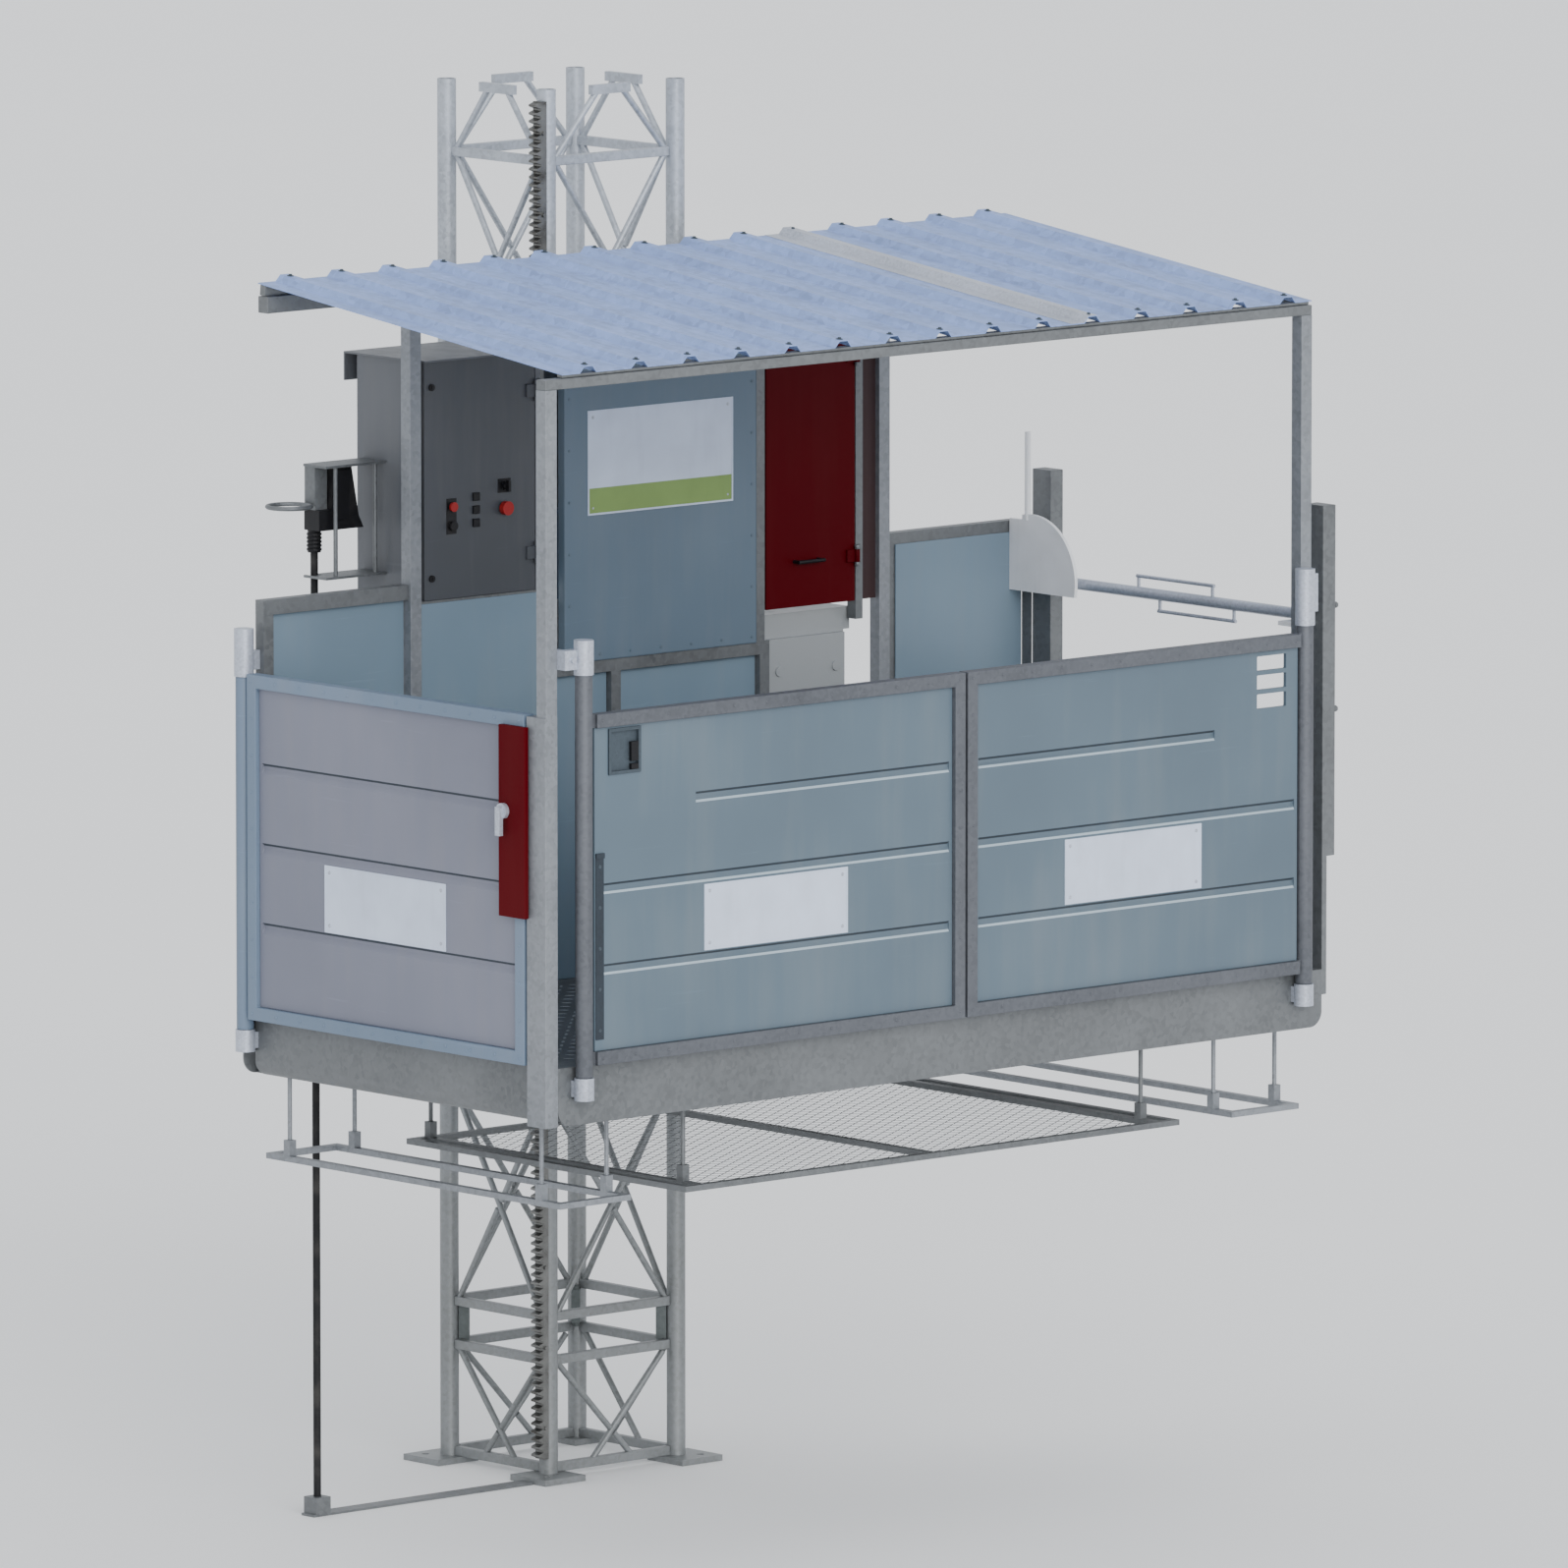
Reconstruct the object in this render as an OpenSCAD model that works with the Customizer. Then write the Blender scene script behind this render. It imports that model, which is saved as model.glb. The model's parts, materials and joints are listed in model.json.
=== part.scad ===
// Material hoist: lattice mast with a rack, and a roofed platform that climbs on it.
// Frame: origin at the mast foot on the floor, X along the platform to the right, Y to the back, Z up.
// Units are millimetres.

/* [Platform] */
// Outer length of the base frame
platform_l = 3200; // [3000:10:3400]
// Outer width of the base frame
platform_w = 1490; // [1440:10:1540]
// Height of the base frame
base_h = 181; // [165:1:195]
// Height of the gate leaves
gate_h = 1080; // [1040:10:1110]
// Underside of the roof sheet at its front edge, over the base bottom
roof_front_h = 2305; // [2290:5:2400]
// Rise of the roof sheet from front to rear
roof_rise = 165; // [120:5:170]
// Height of the base bottom over the floor in the rest pose
lift_h = 1466; // [1440:2:1490]
// Square roof post size
post_s = 45; // [40:1:48]
// Thickness of a gate leaf frame
leaf_t = 44; // [40:1:46]
// Outer diameter of the hinge tubes
hinge_d = 54; // [50:1:58]

/* [Mast] */
// Spacing of the mast tubes along X, centre to centre
mast_wx = 540; // [520:5:560]
// Spacing of the mast tubes along Y, centre to centre
mast_wy = 480; // [460:5:500]
// Outer diameter of the mast tubes
tube_d = 60; // [56:1:62]
// Wall of the mast tubes
tube_wall = 5; // [3:0.5:7]
// Total height of this stretch of mast
mast_h = 4430; // [4380:5:4460]
// Height of the first section joint
joint_h = 450; // [430:5:470]
// Diameter of the diagonal braces
brace_d = 20; // [16:1:22]
// Mast axis from the left end of the platform
mast_from_left = 1700; // [1680:5:1720]
// Mast axis behind the rear plane of the platform
mast_gap = 440; // [435:1:450]

/* [Drive] */
// Rack and pinion module
gear_module = 8; // [7:0.5:8]
// Teeth of each pinion
pinion_teeth = 18; // [18:1:19]
// Face width of the pinions
pinion_w = 44; // [36:1:48]
// Smallest diameter of the guide rollers
roller_d = 70; // [64:1:72]

/* [Clearances] */
// Gap of seats between pieces that are bolted or welded
seat = 0.2; // [0.1:0.05:0.3]
// Radial running gap between turning pieces
run = 0.3; // [0.25:0.05:0.4]
// Tooth play of the gears, on each flank
play = 0.2; // [0.15:0.05:0.3]
// Gap between a leaf and its neighbours
leaf_gap = 10; // [8:1:12]

/* [Hidden] */
$fn = 48;
L = platform_l;
W = platform_w;
XM = mast_from_left;
YM = W + mast_gap;
mx = mast_wx / 2;
my = mast_wy / 2;
tr = tube_d / 2;
FLX = XM - mx;
FRX = XM + mx;
FY = YM - my;
gate_top = base_h + 4 + gate_h;
wall_y = W - 90;
hinge_off = -hinge_d / 2 - 5;
pitch = PI * gear_module;
section_l = round(1508 / pitch) * pitch;
joints = [joint_h, joint_h + section_l, joint_h + 2 * section_l];
plate_t = 20;
ring_h = 30;
ring_w = 24;
ring_front = -6;
joint_ring = 70;
mid_ring = 735;
rack_w = 40;
rack_back = tr + seat;
rack_body = 22;
rack_y0 = -36;
rack_pitch_x = rack_back + rack_body + 1.25 * gear_module;
pinion_r = gear_module * pinion_teeth / 2;
pinion_x = FLX - rack_pitch_x - pinion_r;
pinion_y = FY + rack_y0 + rack_w / 2;
pinion_z = [520, 760, 1280];
shaft_r = 24;
roller_z = [300, 2060];
roller_half = 15;
roller_s = tr + run + roller_d / 2;
beam_y0 = FY - 130;
beam_y1 = FY - 90;
arm_out = 125;
arm_t = 12;
arm_half = 60;
rear_top = 1487;
rail_s = 47;

// Helpers
module box(x0, x1, y0, y1, z0, z1) {
  translate([x0, y0, z0]) cube([x1 - x0, y1 - y0, z1 - z0]);
}

// A box that keeps half a seat gap to each neighbour
module member(x0, x1, y0, y1, z0, z1) {
  g = seat / 2;
  box(x0 + g, x1 - g, y0 + g, y1 - g, z0 + g, z1 - g);
}

module rod(x, y, z0, z1, r) {
  translate([x, y, z0]) cylinder(h = z1 - z0, r = r);
}

module rod_y(x, z, y0, y1, r) {
  translate([x, y0, z]) rotate([-90, 0, 0]) cylinder(h = y1 - y0, r = r);
}

module rod_x(y, z, x0, x1, r) {
  translate([x0, y, z]) rotate([0, 90, 0]) cylinder(h = x1 - x0, r = r);
}

module pipe(x, y, z0, z1, r, ri) {
  difference() {
    rod(x, y, z0, z1, r);
    rod(x, y, z0 - 1, z1 + 1, ri);
  }
}

module on_platform() {
  translate([-XM, -YM, lift_h]) children();
}

// Mast
module mast_feet() {
  plate = 170;
  bolt_off = 55;
  color("silver")
    for (sx = [-1, 1], sy = [-1, 1])
      difference() {
        translate([sx * (mx + 20), sy * (my + 20), plate_t / 2])
          cube([plate, plate, plate_t], center = true);
        rod(sx * (mx + bolt_off), sy * (my + bolt_off), -1, plate_t + 1, 12);
      }
}

module mast_posts() {
  levels = [plate_t, joints[0], joints[1], joints[2], mast_h];
  color("silver")
    for (i = [0:3], sx = [-1, 1], sy = [-1, 1])
      pipe(sx * mx, sy * my, levels[i], levels[i + 1] - (i < 3 ? seat : 0), tr, tr - tube_wall);
}

function ring_levels() = concat([plate_t + ring_h / 2],
  [for (j = joints) each [j - joint_ring, j + joint_ring]],
  [for (j = joints) j + mid_ring]);

module ring(z) {
  ex = mx - tr - seat;
  ey = my - tr - seat;
  for (s = [0, 1]) {
    mirror([0, s, 0])
      box(-ex, ex, -my + ring_front, -my + ring_front + ring_w, z - ring_h / 2, z + ring_h / 2);
    mirror([s, 0, 0])
      box(-mx + ring_front, -mx + ring_front + ring_w, -ey, ey, z - ring_h / 2, z + ring_h / 2);
  }
}

module mast_rings() {
  color("silver")
    for (z = ring_levels())
      ring(z);
}

// One crossed pair of braces in the XZ plane: the second one is welded to the first in two halves
module cross_pair(a0, z0, a1, z1) {
  r = brace_d / 2;
  lean = atan((a0 + a1) / (z1 - z0));
  zc = z0 + (z1 - z0) * a0 / (a0 + a1);
  cut = r * (1 + abs(cos(2 * lean))) / sin(2 * lean) + seat;
  long = 2 * (z1 - z0);
  wide = 2 * (a0 + a1);
  intersection() {
    box(-wide, wide, -r - 1, r + 1, z0, z1);
    translate([0, 0, zc]) rotate([0, lean, 0]) cylinder(h = long, r = r, center = true);
  }
  for (s = [0, 1])
    intersection() {
      box(-wide, wide, -r - 1, r + 1, z0, z1);
      translate([0, 0, zc]) rotate([0, 180 * s - lean, 0]) translate([0, 0, cut]) cylinder(h = long, r = r);
    }
}

// Two braces that lean together under the top tie
module top_pair(a, z0) {
  r = brace_d / 2;
  z1 = mast_h - ring_h;
  apex = mast_h + 40;
  lean = atan(a / (apex - z0));
  for (s = [-1, 1])
    intersection() {
      box(-2 * a, 2 * a, -r - 1, r + 1, z0, z1);
      translate([-s * a, 0, z0]) rotate([0, s * lean, 0]) cylinder(h = 4 * (z1 - z0), r = r, center = true);
    }
  box(-80, 80, -r, r, z1, mast_h);
}

module brace_face(a) {
  h = ring_h / 2;
  cross_pair(a / 3, plate_t + ring_h, a, joints[0] - joint_ring - h);
  for (i = [0:2]) {
    j = joints[i];
    cross_pair(a, j + joint_ring + h, a, j + mid_ring - h);
  }
  for (i = [0, 1])
    cross_pair(a, joints[i] + mid_ring + h, a, joints[i + 1] - joint_ring - h);
  top_pair(a, joints[2] + mid_ring + h);
}

module mast_braces() {
  inset = ring_front + ring_w / 2;
  reach = tr + 16;
  color("silver")
    for (s = [0, 1]) {
      mirror([0, s, 0]) translate([0, -my + inset, 0]) brace_face(mx - reach);
      mirror([s, 0, 0]) translate([-mx + inset, 0, 0]) rotate([0, 0, 90]) brace_face(my - reach);
    }
}

// Toothed rack in lengths that meet in a tooth gap at the section joints
module rack_length(zs, n) {
  m = gear_module;
  ur = rack_back + rack_body;
  ut = ur + 2.25 * m;
  hr = pitch / 4 + 1.25 * m * tan(20) - play;
  ht = pitch / 4 - m * tan(20) - play;
  teeth = [for (k = [0:n - 1]) each [
    [-ur, k * pitch + pitch / 2 - hr],
    [-ut, k * pitch + pitch / 2 - ht],
    [-ut, k * pitch + pitch / 2 + ht],
    [-ur, k * pitch + pitch / 2 + hr]]];
  translate([-mx, -my + rack_y0 + rack_w, zs])
    rotate([90, 0, 0])
      linear_extrude(rack_w)
        polygon(concat([[-rack_back, 0], [-ur, 0]], teeth, [[-ur, n * pitch - seat], [-rack_back, n * pitch - seat]]));
}

module mast_rack() {
  n_foot = floor((joints[0] - 60) / pitch);
  n_full = round(section_l / pitch);
  n_top = floor((mast_h - 12 - joints[2]) / pitch);
  color("dimgray") {
    rack_length(joints[0] - n_foot * pitch, n_foot);
    rack_length(joints[0], n_full);
    rack_length(joints[1], n_full);
    rack_length(joints[2], n_top);
  }
}

module mast_couplers() {
  lug_h = joint_ring - ring_h / 2 - 1;
  bolt_t = tr + 21;
  color("gray")
    for (j = joints, sx = [0, 1], sy = [0, 1])
      mirror([sx, 0, 0]) mirror([0, sy, 0]) translate([-mx, -my, j]) rotate([0, 0, 45]) {
        box(tr + seat, tr + 34, -14, 14, 0, lug_h);
        box(tr + seat, tr + 34, -14, 14, -lug_h, 0);
        rod(bolt_t, 0, lug_h, lug_h + 12, 12, $fn = 6);
        rod(bolt_t, 0, -lug_h - 12, -lug_h, 12, $fn = 6);
      }
}

// Supply cable and its clamp on the floor
cable_x = 450;
cable_y = W + 180;
cable_r = 12;

module trailing_cable() {
  color("black") rod(cable_x - XM, cable_y - YM, 8, lift_h + cable_top - run, cable_r);
}

module cable_foot() {
  x = cable_x - XM;
  y = cable_y - YM;
  color("silver") {
    box(x - 40, -mx - 105, y - 30, y + 30, 0, 8);
    difference() {
      box(x - 30, x + 30, y - 30, y + 30, 8, 60);
      rod(x, y, 7, 61, cable_r + run);
    }
  }
}

// Platform base
flange = 60;
web = 6;
floor_t = 12;
column_x = 50;
column_y = 87;
end_round = 50;

// A channel along X: web with rounded lower corners, and two flanges on its inner side
module channel_x(web_y, flange_y) {
  intersection() {
    member(0, L, web_y, web_y + web, 0, base_h);
    union() {
      box(0, L, web_y, web_y + web, end_round, base_h);
      box(end_round, L - end_round, web_y, web_y + web, 0, end_round + 1);
      rod_y(end_round, end_round, web_y, web_y + web, end_round);
      rod_y(L - end_round, end_round, web_y, web_y + web, end_round);
    }
  }
  member(end_round, L - end_round, flange_y, flange_y + flange - web, 0, web);
  member(0, L, flange_y, flange_y + flange - web, base_h - web, base_h);
}

// The floor ends before the rear wall, where a sill carries the posts
floor_y1 = wall_y - 7;

module base_frame() {
  member_top = base_h - floor_t;
  color("silver") on_platform() {
    channel_x(0, web);
    channel_x(W - web, W - flange);
    for (x0 = [0, L - web])
      member(x0, x0 + web, flange, W - flange, end_round, base_h);
    difference() {
      union() {
        for (f = [0.2, 0.4, 0.6, 0.8]) {
          member(L * f - 30, L * f + 30, web, W - web, web, member_top - 26);
          member(L * f - 25, L * f + 25, flange, W - flange, member_top - 26, member_top);
        }
        for (e = [0, 1])
          translate([e * L, 0, 0]) mirror([e, 0, 0]) {
            member(web, 88, flange, W - flange, 60, member_top);
            member(302, 352, flange, W - flange, 60, member_top);
          }
      }
      hanger_bores();
    }
    member(web, L - web, floor_y1, W - flange, member_top, base_h);
    ramp_lugs();
  }
}

module floor_plate() {
  color("dimgray") on_platform()
    member(web, L - web, flange, floor_y1, base_h - floor_t, base_h);
}

// Roof
roof_x0 = 30;
roof_x1 = L - 45;
roof_y0 = 10;
roof_y1 = W - 50;
roof_slope = atan(roof_rise / (roof_y1 - roof_y0));
beam_h = 40;
rear_beam_h = 85;
front_post_x = L - 97;
rear_post_x = [610, L - 625];
rear_post_y = wall_y - 5;
column_h = gate_top - 4;

function roof_under(y) = roof_front_h + (y - roof_y0) * tan(roof_slope);

module roof_posts() {
  top_front = roof_under(0) - beam_h;
  top_rear = roof_under(rear_post_y) - rear_beam_h;
  color("silver") on_platform() {
    box(-column_x, 0, 0, column_y, 0, column_h);
    box(-post_s - 1, -1, 0, post_s, column_h, top_front);
    box(front_post_x, front_post_x + post_s, 0, post_s, base_h, top_front);
    for (x = rear_post_x)
      box(x, x + post_s, rear_post_y, rear_post_y + post_s, base_h, top_rear);
  }
}

module roof_beams() {
  strip_w = 24;
  gap = 6;
  ends = [[0, -post_s - 1, front_post_x + post_s, beam_h, 10],
          [rear_post_y, roof_x0, roof_x1 - 10, rear_beam_h, 34]];
  color("silver") on_platform() {
    for (e = ends) {
      mid = e[0] + post_s / 2;
      strip = e[4];
      z1 = roof_under(mid) - strip_w / 2 * sin(roof_slope) - strip * cos(roof_slope);
      member(e[1], e[2], e[0], e[0] + post_s, roof_under(e[0]) - e[3], z1);
      translate([0, mid, roof_under(mid)]) rotate([roof_slope, 0, 0])
        member(roof_x0, roof_x1 - 10, -strip_w / 2, strip_w / 2, -strip, 0);
    }
    for (x = [rear_post_x[0], front_post_x])
      intersection() {
        member(x, x + post_s, post_s, rear_post_y, 0, 4000);
        translate([0, roof_y0, roof_front_h]) rotate([roof_slope, 0, 0])
          box(x, x + post_s, -100, W * 2, -beam_h, -gap);
      }
  }
}

// Trapezoidal roof sheet, its ribs running front to rear
rib_pitch = (roof_x1 - roof_x0) / 15;
rib_h = 20;
sheet_t = 3;
rib_top = 32;
rib_foot = 66;

function rib_line(x0, n, up) = concat(
  [for (i = [0:n - 1]) each [
    [x0 + i * rib_pitch, up],
    [x0 + (i + 0.5) * rib_pitch - rib_foot / 2, up],
    [x0 + (i + 0.5) * rib_pitch - rib_top / 2, rib_h + up],
    [x0 + (i + 0.5) * rib_pitch + rib_top / 2, rib_h + up],
    [x0 + (i + 0.5) * rib_pitch + rib_foot / 2, up]]],
  [[x0 + n * rib_pitch, up]]);

function flip(p) = [for (i = [len(p) - 1:-1:0]) p[i]];

module sheet_run(x0, n) {
  run_l = (roof_y1 - roof_y0) / cos(roof_slope);
  translate([0, roof_y0, roof_front_h]) rotate([roof_slope, 0, 0])
    translate([0, run_l, 0]) rotate([90, 0, 0])
      linear_extrude(run_l)
        polygon(concat(rib_line(x0, n, 0), flip(rib_line(x0, n, sheet_t))));
}

module roof_sheet() {
  color("lightsteelblue") on_platform() {
    sheet_run(roof_x0, 15);
  }
}

// Rear wall
panel_t = 6;
sheet_y = W - 60;
wall_x0 = 1250;
wall_x1 = 2056;
wall_z1 = roof_front_h - 105;
rail_z = 1145;
low_z = 980;
wall_z0 = rail_z + 40;
cab_x0 = 670;
cab_x1 = 1130;
cab_z0 = 1430;
cab_z1 = roof_front_h - 125;

function cab_at(f) = cab_z0 + f * (cab_z1 - cab_z0);

module rear_rails() {
  y0 = W - 84;
  y1 = W - 44;
  color("silver") on_platform() {
    member(20, 60, y0, y1, base_h, rear_top - rail_s);
    member(20, rear_post_x[0], y0, y1, rear_top - rail_s, rear_top);
    member(rear_post_x[1] + post_s, L - 22, y0, y1, rear_top - rail_s, rear_top);
    for (x = [rear_post_x[1] + post_s, L - 62])
      member(x, x + 40, y0, y1, base_h, rear_top - rail_s);
    member(L - web, L - 1, W - 220 + column_y, wall_y, base_h, boom_z - 44);
    for (x = [cab_x1 + 20, wall_x0 + 200, wall_x1 + 20])
      member(x, x + 40, y0, y1, base_h, rail_z);
    member(cab_x1 + 20, wall_x1 + 60, y0, y1, rail_z, rail_z + 40);
    member(wall_x1 + 2, red_x0 - 5, wall_y + 2, wall_y + 28, rail_z + 40, wall_z1);
    member(wall_x1 + 60, rear_post_x[1], y0, y1, low_z - 40, low_z);
    member(rear_post_x[0] + post_s, cab_x1 + 60, y0, y1, cab_z0 - 40, cab_z0);
    member(cab_x1 + 20, cab_x1 + 60, y0, y1, rail_z + 40, cab_z0 - 40);
    service_jamb();
  }
}

module rear_infill() {
  y0 = sheet_y - panel_t / 2;
  color("slategray") on_platform() {
    box(62, rear_post_x[0] - 2, y0, y0 + panel_t, base_h, rear_top - rail_s - 2);
    box(rear_post_x[0] + post_s + 2, cab_x1 + 18, wall_y, wall_y + panel_t, base_h, cab_z0 - 8);
    box(cab_x1 + 62, wall_x0 + 198, y0, y0 + panel_t, base_h, rail_z - 2);
    box(wall_x0 + 242, wall_x1 + 18, y0, y0 + panel_t, base_h, rail_z - 2);
    box(wall_x1 + 62, rear_post_x[1] - 2, y0, y0 + panel_t, base_h, low_z - 42);
    box(rear_post_x[1] + post_s + 30, L - 7, wall_y, wall_y + panel_t, base_h, rear_top - rail_s + 10);
  }
}

module machine_wall() {
  lip = 30;
  skin = 3;
  y1 = wall_y + skin;
  y2 = wall_y + lip;
  color("slategray") on_platform() {
    member(wall_x0, wall_x1, wall_y, y1, wall_z0, wall_z1);
    for (x = [wall_x0, wall_x1 - skin])
      member(x, x + skin, y1, y2, wall_z0, wall_z1);
    for (z = [wall_z0, wall_z1 - skin])
      member(wall_x0 + skin, wall_x1 - skin, y1, y2, z, z + skin);
  }
}

// Right end
end_post_x0 = L;
end_post_x1 = L + 54;
end_post_top = 1655;

module end_posts() {
  color("silver") on_platform()
    for (y0 = [0, W - 220]) {
      difference() {
        box(end_post_x0, end_post_x1, y0, y0 + column_y, 100, end_post_top);
        box(end_post_x0 + 20, end_post_x1 + 1, y0 - 1, y0 + column_y + 1, 99, 540);
      }
      for (z = [1000, 1330]) {
        rod_x(y0 + 40, z, end_post_x1, end_post_x1 + 30, 7);
        rod_x(y0 + 40, z, end_post_x1 + 30, end_post_x1 + 42, 11, $fn = 6);
      }
    }
}

// Hinges: a block with a pin at the base and a sleeve with a pin at the top for each swinging gate
pin_r = 16;
tube_z0 = 150;
tube_z1 = 1388;
door_tube_z1 = 1252;
sleeve_r = hinge_d / 2 + 4;
leaf_hinge_x = [78, L - 108];
door_hinge_y = W - 50;
plate_h = 60;

// Hinge parts around the Z axis: sx is the side on which the fixing lies
module hinge_fixing(z1, sleeve_h) {
  rod(0, 0, tube_z0 - 70, tube_z0 - 1, sleeve_r);
  rod(0, 0, tube_z0 - 1, tube_z0 + 120, pin_r);
  rod(0, 0, z1 + 1, z1 + sleeve_h, sleeve_r);
  rod(0, 0, z1 - 80, z1 + 1, pin_r);
}

module hinge_blocks() {
  low0 = tube_z0 - 60;
  low1 = tube_z0 - 10;
  arm0 = 20;
  arm1 = 80;
  y = hinge_off;
  color("gainsboro") on_platform() {
    translate([leaf_hinge_x[0], y, 0]) hinge_fixing(tube_z1, 108);
    box(leaf_hinge_x[0] - 25, leaf_hinge_x[0] + 25, y, 0, low0, low1);
    box(-1, leaf_hinge_x[0], y - 5, y + 27, tube_z1 + arm0, tube_z1 + arm1);
    box(-1, 20, y + 27, post_s - 5, tube_z1 + arm0, tube_z1 + arm1);
    translate([leaf_hinge_x[1], y, 0]) hinge_fixing(tube_z1 - 100, 180);
    box(leaf_hinge_x[1] - 25, leaf_hinge_x[1] + 25, y, 0, low0, low1);
    box(leaf_hinge_x[1], front_post_x + post_s, y, 0, tube_z1 - 60, tube_z1 + 60);
    translate([y, door_hinge_y, 0]) hinge_fixing(door_tube_z1, 150);
    box(y, 0, door_hinge_y - 25, door_hinge_y + 25, low0, low1);
    box(y, 20, door_hinge_y - 15, door_hinge_y + 10, door_tube_z1 + arm0, door_tube_z1 + arm1);
  }
}

// Carriage on the mast
col_in = 60;
col_w = 70;
drive_y0 = FY - 90;
drive_t = 15;

module carriage_frame() {
  strap_x0 = FLX - 105;
  strap_x1 = FLX + 30;
  plate_z0 = 410;
  plate_z1 = 1720;
  drive_y1 = drive_y0 + drive_t;
  color("silver") on_platform() {
    for (x0 = [FLX + col_in, FRX - col_in - col_w])
      member(x0, x0 + col_w, W, beam_y0, 0, 2180);
    for (z = roller_z) {
      member(FLX - arm_out, FRX + arm_out, beam_y0, beam_y1, z - arm_half, z + arm_half);
      for (x0 = [FLX - arm_out, FRX + arm_out - arm_t])
        member(x0, x0 + arm_t, beam_y1, FY + 130, z - arm_half, z + arm_half);
    }
    difference() {
      member(pinion_x - 110, strap_x1, drive_y0, drive_y1, plate_z0, plate_z1);
      for (z = pinion_z)
        rod_y(pinion_x, z, drive_y0 - 1, drive_y1 + 1, shaft_r + 8);
    }
    member(strap_x0, strap_x1, drive_y0, drive_y1, roller_z[0] - arm_half, plate_z0);
    member(strap_x0, strap_x1, drive_y0, drive_y1, plate_z1, roller_z[1] + arm_half);
  }
}

// Roller places: tube 0 is the left one, side 0 lies to the front
module roller_place(tube, side, level) {
  translate([tube == 0 ? FLX : FRX, FY, roller_z[level]])
    mirror([tube, 0, 0])
      rotate([0, 0, side == 0 ? -45 : 135])
        translate([roller_s, 0, 0]) children();
}

fork_gap = roller_half + 2;
fork_t = 8;

module roller_brackets() {
  color("gray") on_platform()
    for (tube = [0, 1], side = [0, 1], level = [0, 1]) {
      for (t = [-1, 1])
        intersection() {
          roller_place(tube, side, level)
            translate([-25, t > 0 ? fork_gap : -fork_gap - fork_t, -40]) cube([200, fork_t, 80]);
          if (side == 0)
            box(FLX - 300, FRX + 300, beam_y1, FY, 0, 2400);
          else
            box(FLX - arm_out + arm_t, FRX + arm_out - arm_t, FY - 200, FY + 300, 0, 2400);
        }
      roller_place(tube, side, level) {
        rotate([90, 0, 0]) cylinder(h = 2 * fork_gap, r = 10, center = true);
        for (s = [0, 1])
          mirror([0, s, 0]) translate([0, fork_gap + fork_t, 0]) rotate([-90, 0, 0])
            cylinder(h = 7, r = 15, $fn = 6);
      }
    }
}

module roller(tube, side, level) {
  groove = tr + 1;
  rim = roller_d / 2 + 4;
  color("dimgray") on_platform() roller_place(tube, side, level)
    rotate([90, 0, 0])
      rotate_extrude()
        difference() {
          translate([10 + run, -roller_half]) square([rim - 10 - run, 2 * roller_half]);
          translate([roller_d / 2 + groove, 0]) circle(r = groove, $fn = 72);
        }
}

// Drive
module gearbox(z) {
  y0 = wall_y + 50;
  color("lightgray")
    difference() {
      union() {
        box(pinion_x - 90, pinion_x + 90, y0, drive_y0, z - 90, z + 90);
        rod(pinion_x, (y0 + drive_y0) / 2, z + 90, z + 104, 74);
        rod_y(pinion_x, z, y0 - 4, y0, 60);
      }
      rod_y(pinion_x, z, drive_y0 - 60, drive_y0 + 1, shaft_r + run);
    }
}

module gearboxes() {
  on_platform() {
    gearbox(pinion_z[1]);
    gearbox(pinion_z[2]);
  }
}

module motor(z) {
  y = (wall_y + 50 + drive_y0) / 2;
  rod(pinion_x, y, z + 104, z + 300, 68);
  for (i = [0:23])
    translate([pinion_x, y, z + 120]) rotate([0, 0, i * 15]) box(66, 74, -2, 2, 0, 150);
  rod(pinion_x, y, z + 300, z + 380, 62);
  box(pinion_x - 130, pinion_x - 70, y - 40, y + 40, z + 150, z + 240);
}

module motors() {
  color("steelblue") on_platform() {
    motor(pinion_z[1]);
    motor(pinion_z[2]);
  }
}

module safety_brake() {
  y0 = wall_y + 40;
  z = pinion_z[0];
  color("goldenrod") on_platform()
    difference() {
      union() {
        rod_y(pinion_x, z, y0, drive_y0 - 20, 80);
        rod_y(pinion_x, z, drive_y0 - 20, drive_y0, 100);
        box(pinion_x - 30, pinion_x + 30, y0 + 30, y0 + 80, z + 70, z + 100);
      }
      rod_y(pinion_x, z, drive_y0 - 60, drive_y0 + 1, shaft_r + run);
    }
}

function roll(r, rb) = (tan(acos(rb / r)) - acos(rb / r) * PI / 180) * 180 / PI;

module pinion_shape() {
  n = pinion_teeth;
  rp = pinion_r;
  rb = rp * cos(20);
  root = rp - 1.25 * gear_module;
  tip = rp + gear_module;
  half = 90 / n - play / rp * 180 / PI + roll(rp, rb);
  steps = 6;
  flank = [for (i = [0:steps]) let (r = rb + (tip - rb) * i / steps) [r, half - roll(r, rb)]];
  polygon([for (k = [0:n - 1]) let (c = k * 360 / n) each concat(
    [[root * cos(c - half), root * sin(c - half)]],
    [for (f = flank) [f[0] * cos(c - f[1]), f[0] * sin(c - f[1])]],
    [for (i = [steps:-1:0]) [flank[i][0] * cos(c + flank[i][1]), flank[i][0] * sin(c + flank[i][1])]],
    [[root * cos(c + half), root * sin(c + half)]])]);
}

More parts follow.
